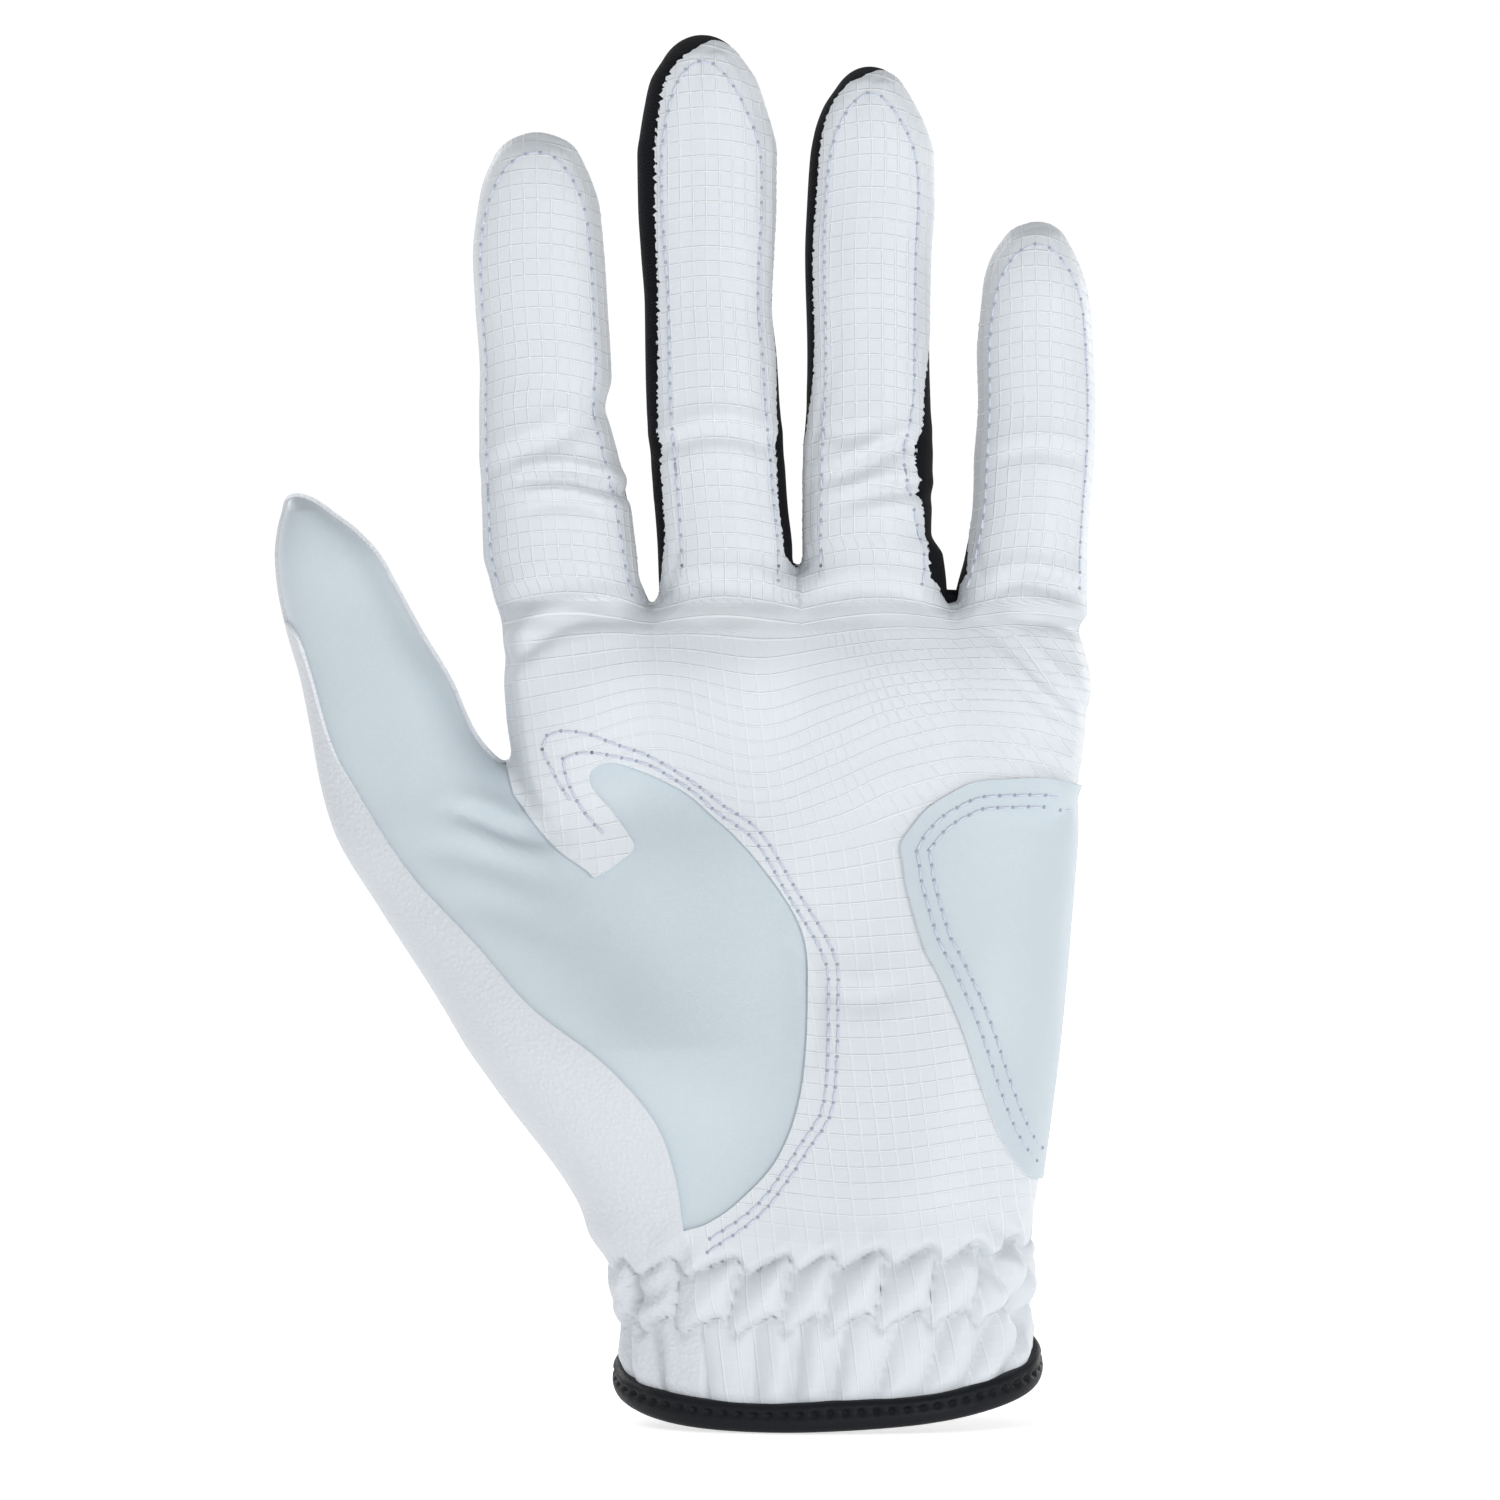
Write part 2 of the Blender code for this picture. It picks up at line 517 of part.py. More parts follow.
def build_closure():
    inside = (0, 0, 32)
    loop = back_patch(*LOOP_X, TAB_BOTTOM - LOOP_SHOW, TAB_TOP + LOOP_SHOW, 6, GAP + LOOP_THICK)
    add_sheet("loop_patch", loop, LOOP_THICK, BLACK_STRETCH, CLOSURE_ROUGH, inside)
    root = back_patch(TAB_HINGE_X - SEWN_LENGTH, TAB_HINGE_X - GAP, TAB_BOTTOM, TAB_TOP, 3, tab_lift())
    add_sheet("tab_sewn_end", root, tab_lift() - GAP, WHITE_PEBBLE, GRID_ROUGH, inside)
    middle = (TAB_BOTTOM + TAB_TOP) / 2
    skin = surface([(TAB_HINGE_X, middle)], 1)[0]
    hinge = joint_empty("tab_hinge", (TAB_HINGE_X, skin[1] + tab_lift() + HINGE_ABOVE, skin[2]))
    hook_lift = tab_lift() - TAB_THICK - GAP
    hook = back_patch(*HOOK_X, TAB_BOTTOM + HOOK_INSET, TAB_TOP - HOOK_INSET, 6, hook_lift, HOOK_CORNER)
    add_sheet("hook_patch", hook, HOOK_THICK, BLACK_STRETCH, CLOSURE_ROUGH, inside, hinge)
    tab = back_patch(TAB_HINGE_X + GAP, TAB_END_X, TAB_BOTTOM, TAB_TOP, 11, tab_lift(), TAB_CORNER)
    add_sheet("closure_tab", tab, TAB_THICK, WHITE_PEBBLE, GRID_ROUGH, inside, hinge)


# ---- fingers and thumb ------------------------------------------------------------------------
def limb_axes(spec):
    """Unit vectors in (x, z): along the limb, and across it towards the little finger."""
    run = np.array(spec["tip"]) - np.array(spec["base"])
    along = run / np.linalg.norm(run)
    return along, np.array([along[1], -along[0]])


def limb_length(spec):
    return float(np.linalg.norm(np.array(spec["tip"]) - np.array(spec["base"])))


def dome_share(spec, s):
    """1 along the limb, falling to 0 at the tip."""
    start = limb_length(spec) - spec["dome"]
    share = np.clip((s - start) / spec["dome"], 0.0, 1.0)
    return np.sqrt(np.clip(1.0 - share ** 2, 0.0, 1.0))


def limb_point(spec, s, angle, half_depth):
    """Skin of a limb: s along it from the base knuckle, angle 0 on the palm side, 90 towards the
    little finger, 180 on the back."""
    length = limb_length(spec)
    widths = np.interp(s, [0.0, spec["middle"], length - spec["dome"]], spec["widths"])
    dome = dome_share(spec, s)
    sine, cosine = np.sin(np.radians(angle)), np.cos(np.radians(angle))
    power = 2.0 / SECTION_POWER
    side = widths * dome * np.sign(sine) * np.abs(sine) ** power
    y = -half_depth * dome ** 0.8 * np.sign(cosine) * np.abs(cosine) ** power
    along, across = limb_axes(spec)
    x = spec["base"][0] + s * along[0] + side * across[0]
    z = spec["base"][1] + s * along[1] + side * across[1]
    return np.stack([x, y, z], axis=-1)


def tapered(angles, share, taper):
    """The panel's two side angles, brought towards the side seams near the tip."""
    if taper is None or share <= taper[0]:
        return angles
    first, last, ends = taper
    ease = min(1.0, (share - first) / (last - first))
    return tuple(side + (end - side) * ease for side, end in zip(angles, ends))


def inset_angle(spec, share, to_tip):
    """SEAM_INSET in degrees round the section, at a share of the piece's length."""
    length = limb_length(spec)
    middle = spec["middle"]
    s = middle + share * (length - TIP_GAP - middle) if to_tip else share * middle
    width = np.interp(s, [0.0, middle, length], [spec["widths"][0], spec["widths"][1], TIP_RADIUS])
    return math.degrees(SEAM_INSET / max(1.0, width * float(dome_share(spec, s))))


def limb_panel(spec, half_depth, angles, s_from, s_to, stations, taper=None):
    """Grid from the edge s_from(y) to the edge s_to(y), or to the tip when s_to is None.

    stations are shares of the way between the two edges.  taper is the share where the sides
    start to move, the share where they end, and their angles there.
    """
    columns = max(4, int(abs(angles[1] - angles[0]) / 20) + 1)
    rows = []
    for share in stations:
        low, high = tapered(angles, share, taper)
        inset = inset_angle(spec, share, s_to is None)
        angle = np.linspace(low + inset, high - inset, columns)
        y = limb_point(spec, np.full(columns, spec["middle"] * 0.5), angle, half_depth)[:, 1]
        start = s_from(y)
        end = s_to(y) if s_to is not None else np.full(columns, limb_length(spec) - TIP_GAP)
        rows.append(limb_point(spec, start + share * (end - start), angle, half_depth))
    return rows


def tip_stations(spec, count):
    """Shares from the middle knuckle to the tip, closer together over the dome."""
    body = (limb_length(spec) - spec["dome"] - spec["middle"]) / (limb_length(spec) - spec["middle"])
    straight_part = np.linspace(0.0, body, 3)[:-1]
    angles = np.radians(np.linspace(0.0, 90.0, count))
    return np.concatenate([straight_part, body + (1.0 - body) * np.sin(angles)])


def build_limb(name, spec, half_depth, ranges, panels):
    """The lower and upper piece of every panel of a finger or thumb, on their knuckles."""
    along, _ = limb_axes(spec)
    base = spec["base"]
    middle = np.array(base) + along * spec["middle"]
    lower_pivot = joint_empty(name + "_base_knuckle", (base[0], PIVOT_DEPTH, base[1]))
    upper_pivot = joint_empty(name + "_middle_knuckle", (middle[0], PIVOT_DEPTH, middle[1]), lower_pivot)
    inside_low = np.array([base[0], 0.0, base[1]]) + np.array([along[0], 0, along[1]]) * spec["middle"] / 2
    inside_up = np.array([middle[0], 0.0, middle[1]]) + np.array([along[0], 0, along[1]]) * 8.0
    for label, angles, thickness, colour, roughness, tip_angles in panels:
        lower = limb_panel(spec, half_depth, angles, lambda y: notch(y, ranges[0]),
                           lambda y: spec["middle"] - notch(y, ranges[1]), np.linspace(0.0, 1.0, 3))
        add_sheet(name + "_" + label + "_lower", lower, thickness, colour, roughness, inside_low, lower_pivot)
        stations = tip_stations(spec, 8)
        taper_from, taper_to = stations[2], stations[-2]
        if tip_angles is None:
            stations = stations[:-4]
            centre = sum(angles) / 2.0
            room = 0.25 * (angles[1] - angles[0])
            tip_angles = (centre - room, centre + room)
            taper_to = stations[-1]
        upper = limb_panel(spec, half_depth, angles, lambda y: spec["middle"] + notch(y, ranges[1]),
                           None, stations, (taper_from, taper_to, tip_angles))
        add_sheet(name + "_" + label + "_upper", upper, thickness, colour, roughness, inside_up, upper_pivot)


def finger_panels(spec):
    """Palm face, back and fourchettes: (label, angles, thickness, colour, roughness, tip angles)."""
    seam = spec["seam"]
    outer = -seam if "outer" in spec["strips"] else -90.0
    inner = seam if "inner" in spec["strips"] else 90.0
    back_outer = -(180.0 - seam) if "outer" in spec["strips"] else -90.0
    back_inner = 180.0 - seam if "inner" in spec["strips"] else 90.0
    panels = [("palm_face", (outer, inner), LEATHER, WHITE_GRID, GRID_ROUGH, (-90.0, 90.0)),
              ("back", (back_inner, 360.0 + back_outer), LEATHER, WHITE_PEBBLE, PEBBLE_ROUGH, (90.0, 270.0))]
    if "outer" in spec["strips"]:
        label = "fourchette_thumb_side" if len(spec["strips"]) == 2 else "fourchette"
        panels.append((label, (back_outer, outer), STRETCH, BLACK_STRETCH, STRETCH_ROUGH, None))
    if "inner" in spec["strips"]:
        label = "fourchette_little_side" if len(spec["strips"]) == 2 else "fourchette"
        panels.append((label, (inner, back_inner), STRETCH, BLACK_STRETCH, STRETCH_ROUGH, None))
    return panels


def build_fingers():
    for name, spec in FINGERS.items():
        build_limb(name, spec, FINGER_HALF_DEPTH, (BASE_RANGE, MIDDLE_RANGE), finger_panels(spec))


def build_thumb():
    panels = [("leather", (-70.0, 90.0), LEATHER, GREY_LEATHER, SMOOTH_ROUGH, (-80.0, 90.0)),
              ("back", (90.0, 290.0), LEATHER, WHITE_PEBBLE, PEBBLE_ROUGH, (90.0, 280.0))]
    build_limb("thumb", THUMB, THUMB_HALF_DEPTH, (THUMB_BASE_RANGE, THUMB_TIP_RANGE), panels)


def build_web_gussets():
    """The stretch saddles at the bottom of the gaps between the fingers."""
    names = list(FINGERS)
    for first, second in zip(names[:-1], names[1:]):
        left = FINGERS[first]["base"][0] + FINGERS[first]["widths"][0]
        right = FINGERS[second]["base"][0] - FINGERS[second]["widths"][0]
        x = (left + right) / 2.0
        z = min(FINGERS[first]["base"][1], FINGERS[second]["base"][1]) - SADDLE_DROP
        rows = []
        for y in SADDLE_DEPTHS:
            sag = SADDLE_SAG * (1.0 - (y / SADDLE_DEPTHS[-1]) ** 2)
            edge_z = z - SADDLE_EDGE_DROP - sag
            rows.append([(x - SADDLE_HALF, y, edge_z), (x, y, z - sag), (x + SADDLE_HALF, y, edge_z)])
        name = "web_gusset_" + first + "_" + second
        add_sheet(name, rows, STRETCH, BLACK_STRETCH, STRETCH_ROUGH, (x, 0, z - 10))


clear_scene()
GLOVE = make_collection("golf_glove")
build_palm_panel()
build_thumb_leather()
build_thumb_side_panel()
build_crotch_tab()
build_heel_patch()
build_back_panel()
build_knuckle_pieces()
build_cuff_binding()
build_elastics()
build_slit_pieces()
build_closure()
build_web_gussets()
build_fingers()
build_thumb()
bpy.context.view_layer.update()
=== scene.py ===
"""Golf glove: leather panels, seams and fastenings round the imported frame.

The glove's skin is one implicit surface, meshed and cut along its seams into panels.
Lengths are millimetres until a mesh is made; the frame's own numbers are metres.
"""
import json
import math

import bpy
import numpy as np
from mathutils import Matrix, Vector, noise
from mathutils.bvhtree import BVHTree


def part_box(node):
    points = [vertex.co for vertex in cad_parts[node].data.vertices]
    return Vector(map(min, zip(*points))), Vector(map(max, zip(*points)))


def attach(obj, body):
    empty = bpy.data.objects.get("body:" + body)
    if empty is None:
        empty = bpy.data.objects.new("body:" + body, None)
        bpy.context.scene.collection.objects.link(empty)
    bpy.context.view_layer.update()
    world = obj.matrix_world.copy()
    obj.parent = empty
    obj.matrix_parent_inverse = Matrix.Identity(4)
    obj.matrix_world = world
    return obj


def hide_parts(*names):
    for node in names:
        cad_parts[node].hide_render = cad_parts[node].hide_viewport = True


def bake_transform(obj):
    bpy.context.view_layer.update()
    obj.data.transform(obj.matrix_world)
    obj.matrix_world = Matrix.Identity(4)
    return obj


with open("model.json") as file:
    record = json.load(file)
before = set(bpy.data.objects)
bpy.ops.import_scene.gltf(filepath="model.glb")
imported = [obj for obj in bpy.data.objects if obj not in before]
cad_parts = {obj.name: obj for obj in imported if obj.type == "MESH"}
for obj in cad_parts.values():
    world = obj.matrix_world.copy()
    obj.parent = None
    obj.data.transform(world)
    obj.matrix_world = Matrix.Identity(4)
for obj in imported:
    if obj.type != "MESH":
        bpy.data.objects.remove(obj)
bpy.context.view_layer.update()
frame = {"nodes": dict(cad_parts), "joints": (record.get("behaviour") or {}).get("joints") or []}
MM = 0.001
PER_METRE = 1000.0
JOINTS = {j["name"]: j for j in frame["joints"]}

# ---- the hand's outline, millimetres: (height, left edge, right edge) --------------------------
INDEX_EDGES = [(100, -48.0, -30.0), (118, -50.5, -29.5), (131, -53.4, -29.2), (134.4, -54.3, -30.1),
               (138.4, -55.3, -30.7), (146.4, -55.5, -31.9), (154.4, -55.9, -33.8),
               (162.4, -56.0, -35.7), (167, -55.9, -34.9), (178.4, -56.6, -35.5), (186, -56.9, -35.9),
               (194, -56.1, -36.6), (198, -55.3, -37.8), (202.0, -53.6, -39.6)]
MIDDLE_EDGES = [(100, -28.0, -5.5), (131, -27.6, -5.6), (138.4, -27.7, -5.6), (146.4, -28.2, -6.4),
                (154.4, -28.9, -7.0), (162.4, -29.5, -7.7), (170.4, -29.7, -8.2), (178.4, -29.8, -9.0),
                (186.4, -30.4, -8.7), (194.4, -30.9, -8.3), (202.4, -31.0, -8.3), (206, -30.5, -9.0),
                (210, -29.8, -10.2), (214, -28.9, -11.5), (218.0, -26.6, -14.0)]
RING_EDGES = [(100, -4.5, 18.5), (131, -4.6, 19.3), (138.4, -4.6, 18.5), (142, -4.6, 16.6),
              (154.4, -4.4, 16.8), (162.4, -3.9, 16.4), (170.4, -3.8, 16.2), (186.4, -4.1, 16.4),
              (194.4, -3.8, 16.9), (202, -3.3, 16.8), (206, -2.6, 15.8), (210, -1.2, 14.0),
              (213.4, 1.0, 12.0)]
LITTLE_EDGES = [(100, 20.0, 39.2), (118, 20.0, 40.9), (126, 19.8, 40.1), (131, 19.7, 41.2),
                (138.4, 21.4, 41.2), (146.4, 22.8, 41.7), (154.4, 23.1, 42.3), (162.4, 23.6, 42.5),
                (170.4, 23.4, 42.2), (178, 24.1, 41.7), (182, 24.6, 40.9), (186, 25.9, 39.4),
                (189.0, 27.9, 37.8)]
THUMB_EDGES = [(14, -29.0, -12.0), (23.0, -31.0, -12.0), (26.4, -33.2, -12.2), (30.4, -36.8, -12.5),
               (34.4, -38.4, -13.0), (38.4, -40.9, -14.0), (50.4, -50.6, -18.0), (58.4, -56.4, -22.8),
               (66.4, -61.7, -28.0), (82.4, -72.2, -39.5), (94.4, -79.1, -47.5), (102.4, -81.4, -51.8),
               (110.4, -82.9, -57.0), (118.4, -84.6, -60.4), (126.4, -86.9, -65.2),
               (134.0, -88.4, -69.3), (138.4, -88.7, -71.8), (142.4, -88.3, -75.4),
               (145.6, -87.5, -79.6)]
PALM_EDGES = [(-6, -33.0, 33.0), (10, -33.3, 33.0), (18.4, -33.2, 31.6), (26.4, -33.7, 31.4),
              (38.4, -36.0, 33.4), (50.4, -38.5, 35.0), (70.4, -42.0, 37.2), (86.4, -46.0, 38.5),
              (94.4, -48.5, 39.0), (106.4, -50.8, 38.6), (112, -51.6, 39.4), (118.4, -52.0, 41.0),
              (122.4, -52.6, 40.7), (126.4, -53.0, 39.9), (131, -53.5, 41.2)]
# edges, the tip's (x, z), and the cuts at the base and the middle of the bend, measured along the limb
# from its base knuckle
LIMBS = {
    "index": dict(edges=INDEX_EDGES, tip=(-46.3, 206.0), cut=(-6.5, 11.0)),
    "middle": dict(edges=MIDDLE_EDGES, tip=(-20.3, 221.9), cut=(-5.0, 11.0)),
    "ring": dict(edges=RING_EDGES, tip=(6.4, 216.8), cut=(-5.0, 10.0)),
    "little": dict(edges=LITTLE_EDGES, tip=(33.2, 191.7), cut=(-6.5, 8.5)),
    "thumb": dict(edges=THUMB_EDGES, tip=(-85.2, 148.3), cut=(-7.5, 11.0)),
}
FINGER_NAMES = ("index", "middle", "ring", "little")
# half thicknesses, (height, depth)
FINGER_DEPTH = [(100, 9.4), (140, 9.3), (175, 8.8), (215, 8.4)]
THUMB_FRONT = [(20, 12.0), (38, 16.5), (60, 20.0), (76, 17.5), (90, 13.5), (102, 11.2), (130, 9.8)]
THUMB_BACK = [(20, 14.0), (60, 13.5), (90, 11.5), (115, 10.2), (130, 9.6)]
PALM_FRONT = [(-6, 20.6), (20, 19.8), (45, 17.0), (75, 14.0), (100, 12.8), (118, 12.6), (131, 11.6)]
PALM_BACK = [(-6, 20.8), (15, 19.8), (50, 16.4), (75, 14.5), (100, 13.0), (118, 12.2), (131, 10.6)]
# the palm's top edge between the fingers, (x, height), and the three gaps in it
WEB_TOPS = [(-54, 133), (-29.4, 132.4), (-17, 134.2), (-5.1, 136.2), (7, 134.4), (19.5, 133.1), (42, 134)]
WEB_GAPS = ((-29.0, 132.4), (-5.1, 136.2), (19.9, 133.1))
WEB_RISE = 3.2
WEB_HALF = 2.6
WEB_ROUND = 15.0
WEB_BLEND = (1.5, 6.0)
WEB_BLEND_LEVELS = (4.0, 9.0)
# how square each cross-section is: 2 is an ellipse
FINGER_POWER = 2.25
PALM_POWER = ((0, 45, 75, 130), (2.25, 2.4, 2.8, 3.0))
TIP_LENGTH = 13.0
TIP_POWER = 2.3
TIP_THINNING = 0.93
STEEPEST_TIP = 0.44
LIMB_ROOT = (4.0, 8.0)
THUMB_BLEND = ((20, 30, 60, 98), (3.0, 6.0, 11.0, 2.5))
# swells of the palm side: height, centre (x, z), spread
PALM_SWELLS = ((2.6, (24, 50), (16, 28)), (-1.8, (-2, 78), (15, 24)))
KNUCKLES = ((-43, 112), (-17, 117), (6, 116), (29, 110))
PALM_PAD = (0.9, (9, 9))
BACK_KNUCKLE = (1.3, (8, 11))
HEM_SLOPE = (0.04, 0.30)
HEM_START = (-20.6, 0.25)

# seams, (x, z)
THUMB_SEAM = [(-20.9, -6.0), (-20.9, 22.0), (-23.1, 31.4), (-24.6, 40.6), (-27.9, 49.1), (-35.8, 58.1),
              (-47.0, 66.7), (-56.1, 76.8), (-67.0, 88.2), (-75.8, 101.4), (-79.4, 108.0), (-83.1, 119.5),
              (-86.6, 127.0), (-95.0, 134.0)]
THENAR_EDGE = [(-23.0, 31.6), (-19.4, 32.8), (-14.5, 36.2), (-8.2, 43.2), (-4.6, 53.6), (-3.6, 68.2),
               (-4.7, 79.2), (-12.6, 91.0), (-20.7, 98.4), (-26.8, 102.1), (-32.2, 104.6), (-35.9, 105.0),
               (-38.2, 103.4), (-37.8, 100.6), (-35.0, 97.4), (-32.2, 93.8), (-31.3, 92.0), (-32.4, 90.4),
               (-36.9, 87.2), (-38.6, 88.2), (-43.3, 91.5), (-47.0, 95.6), (-50.0, 99.8)]
TONGUE_TOP = [(-56.0, 103.6), (-50.6, 104.4), (-45.6, 107.6), (-40.5, 108.2), (-36.4, 105.4), (-30.0, 101.0)]
HEEL_EDGE = [(46.0, 101.2), (38.9, 101.9), (34.5, 102.8), (28.9, 102.7), (23.1, 102.2), (19.4, 100.6),
             (15.6, 98.2), (13.1, 95.3), (11.2, 92.3), (11.6, 88.8), (12.2, 85.0), (14.8, 76.0),
             (17.0, 71.8), (20.6, 63.5), (23.8, 53.6), (26.4, 46.6), (29.2, 41.8), (33.0, 39.0), (46.0, 37.5)]
# (height, x)
BACK_THUMB_SEAM = [(-6, -26.0), (30, -27.0), (52, -31.0), (72, -38.0), (90, -46.0), (99.8, -50.2),
                   (125, -56.0)]
SLIT_X = 1.5
SLIT_TOP = 54.0
# half its width at the hem, and how much narrower half is at its top
SLIT_HALF = (2.5, 1.5)
INSERT_BAND = (107.0, 119.5)
INSERT_BOW = (0.0022, -6.0)
# level (y) of the palm side's raw edge on each finger: (height, thumb side, little side)
PALM_LEVEL = {
    "index": [(100, 0.0, -3.0), (131, 0.0, -2.6), (137, 0.0, -1.6), (206, 0.0, -1.6)],
    "middle": [(100, -3.0, -6.0), (133, -3.4, -5.6), (142, -5.4, -5.6), (150, -5.6, -5.4), (172, -6.1, -3.0),
               (222, -6.4, -2.4)],
    "ring": [(100, -6.0, -6.4), (134, -5.0, -6.8), (138, -3.2, -6.7), (142, -2.6, -5.4), (147, -2.6, -6.1),
             (153.5, -2.9, -7.2), (159, -3.4, -5.9), (165, -4.6, -5.2), (176, -5.2, -2.6), (217, -5.4, -2.4)],
    "little": [(100, -6.4, 3.0), (131, -6.2, 2.0), (138, -3.4, 0.6), (143, -1.6, 0.0), (192, -1.6, 0.0)],
}
BACK_LEVEL = 5.2
# level of the seam down the little finger's side of the hand
OUTER_SEAM_LEVEL = [(0, 3.5), (100, 3.5), (125, 1.6), (145, 0.0)]


# ---- small numeric helpers --------------------------------------------------------------------
def smoothstep(low, high, value):
    share = np.clip((value - low) / (high - low), 0.0, 1.0)
    return share * share * (3.0 - 2.0 * share)


def curve(value, points):
    """A smooth curve through (position, value) points, flat outside them."""
    places, levels = np.array(points, float).T
    steps = np.diff(places)
    slopes = np.diff(levels) / steps
    tangent = np.zeros(len(places))
    same = slopes[:-1] * slopes[1:] > 0
    total = np.where(same, slopes[:-1] + slopes[1:], 1.0)
    tangent[1:-1] = np.where(same, 2 * slopes[:-1] * slopes[1:] / total, 0.0)
    tangent[0], tangent[-1] = slopes[0], slopes[-1]
    cell = np.clip(np.searchsorted(places, value) - 1, 0, len(steps) - 1)
    t = np.clip((value - places[cell]) / steps[cell], 0.0, 1.0)
    a, b = levels[cell], levels[cell + 1]
    ma, mb = tangent[cell] * steps[cell], tangent[cell + 1] * steps[cell]
    return (a * (2 * t ** 3 - 3 * t ** 2 + 1) + ma * (t ** 3 - 2 * t ** 2 + t)
            + b * (3 * t ** 2 - 2 * t ** 3) + mb * (t ** 3 - t ** 2))


def edges_at(height, table):
    left = curve(height, [(row[0], row[1]) for row in table])
    right = curve(height, [(row[0], row[2]) for row in table])
    return left, right


def smooth_min(a, b, radius):
    share = np.clip(1.0 - np.abs(a - b) / radius, 0.0, 1.0)
    return np.minimum(a, b) - share * share * radius / 4.0


def bump(x, z, centre, size):
    return np.exp(-((x - centre[0]) / size[0]) ** 2 - ((z - centre[1]) / size[1]) ** 2)


def soft_line(points, per_span=8):
    """A Catmull-Rom curve through outline points."""
    points = np.array(points, float)
    ends = np.concatenate([[2 * points[0] - points[1]], points, [2 * points[-1] - points[-2]]])
    t = np.linspace(0.0, 1.0, per_span, endpoint=False)[:, None]
    spans = []
    for p0, p1, p2, p3 in zip(ends[:-3], ends[1:-2], ends[2:-1], ends[3:]):
        spans.append(0.5 * (2 * p1 + (p2 - p0) * t + (2 * p0 - 5 * p1 + 4 * p2 - p3) * t ** 2
                            + (3 * p1 - p0 - 3 * p2 + p3) * t ** 3))
    return np.concatenate(spans + [points[-1:]])


def line_distance(x, z, line):
    """Distance to a line in (x, z), its sign (positive on the left of its direction), and the
    share of the line's length where the nearest point is."""
    line = np.asarray(line)
    best = np.full(len(x), 1e9)
    side = np.ones(len(x))
    share = np.zeros(len(x))
    steps = np.linalg.norm(np.diff(line, axis=0), axis=1)
    along = np.concatenate([[0.0], np.cumsum(steps)]) / steps.sum()
    for k, (start, end) in enumerate(zip(line[:-1], line[1:])):
        run = end - start
        along_run = (x - start[0]) * run[0] + (z - start[1]) * run[1]
        t = np.clip(along_run / (run @ run + 1e-12), 0.0, 1.0)
        dx, dz = x - start[0] - t * run[0], z - start[1] - t * run[1]
        distance = np.hypot(dx, dz)
        nearer = distance < best
        best = np.where(nearer, distance, best)
        side = np.where(nearer, np.sign(run[0] * dz - run[1] * dx), side)
        share = np.where(nearer, along[k] + t * (along[k + 1] - along[k]), share)
    return best, side, share


# ---- the implicit hand ------------------------------------------------------------------------
def superellipse(x, y, half, depth, power):
    return ((np.abs(x) / half) ** power + (np.abs(y) / depth) ** power) ** (1.0 / power)


def limb_end(limb):
    """The tip's dome, which carries on the slope of the edges below it.

    It starts at share begin of its curve, and it is grow times as wide as the limb there.
    """
    (low, low_left, low_right), (start, left, right) = limb["edges"][-2:]
    length = limb["tip"][1] - start
    half = (right - left) / 2.0
    narrowing = ((low_right - low_left) / 2.0 - half) / (start - low)
    pull = min(max(narrowing * length / half, 0.0), STEEPEST_TIP)
    begin = pull / (1.0 - pull)
    drift = ((left + right) - (low_left + low_right)) / 2.0 / (start - low)
    return dict(start=start, length=length, begin=begin, grow=1.0 / math.sqrt(1.0 - begin ** 2),
                drift=drift, middle=(left + right) / 2.0)


LIMB_ENDS = {name: limb_end(limb) for name, limb in LIMBS.items()}


def limb_shift(t, name):
    """Sideways shift of the dome's centre at share t of its height."""
    end = LIMB_ENDS[name]
    lean = end["drift"] * end["length"]
    return lean * t + (LIMBS[name]["tip"][0] - end["middle"] - lean) * t ** 2


def limb_value(x, y, z, name):
    """Negative inside a finger or the thumb; near its surface, about the distance to it."""
    limb, end = LIMBS[name], LIMB_ENDS[name]
    left, right = edges_at(z, limb["edges"])
    t = np.clip((z - end["start"]) / end["length"], 0.0, None)
    centre = (left + right) / 2.0 + limb_shift(t, name)
    half = (right - left) / 2.0 * end["grow"]
    if name == "thumb":
        depth = np.where(y < 0, curve(z, THUMB_FRONT), curve(z, THUMB_BACK))
    else:
        depth = curve(z, FINGER_DEPTH)
    taper = np.clip(1.0 - (limb["tip"][1] - z) / TIP_LENGTH, 0.0, 1.0)
    depth = depth * (1.0 - TIP_THINNING * taper ** TIP_POWER) ** (1 / TIP_POWER) * end["grow"]
    radius = superellipse(x - centre, y, half, depth, FINGER_POWER)
    low = np.clip((limb["edges"][0][0] + LIMB_ROOT[0] - z) / LIMB_ROOT[1], 0.0, None)
    round_tip = end["begin"] + (1.0 - end["begin"]) * t
    radius = np.sqrt(radius ** 2 + round_tip ** 2)
    radius = np.sqrt(radius ** 2 + low ** 2)
    return (radius - 1.0) * np.minimum(half, depth)


def palm_value(x, y, z):
    left, right = edges_at(z, PALM_EDGES)
    front = curve(z, PALM_FRONT)
    for height, centre, spread in PALM_SWELLS:
        front = front + height * bump(x, z, centre, spread)
    back = curve(z, PALM_BACK)
    for centre in KNUCKLES:
        front = front + PALM_PAD[0] * bump(x, z, centre, PALM_PAD[1])
        back = back + BACK_KNUCKLE[0] * bump(x, z, centre, BACK_KNUCKLE[1])
    depth = np.where(y < 0, front, back)
    power = np.interp(z, *PALM_POWER)
    half = (right - left) / 2.0
    radius = superellipse(x - (left + right) / 2.0, y, half, depth, power)
    top = curve(x, WEB_TOPS)
    over = np.clip((z - top + WEB_ROUND) / WEB_ROUND, 0.0, None)
    radius = np.sqrt(radius ** 2 + over ** 2)
    return (radius - 1.0) * np.minimum(half, depth)


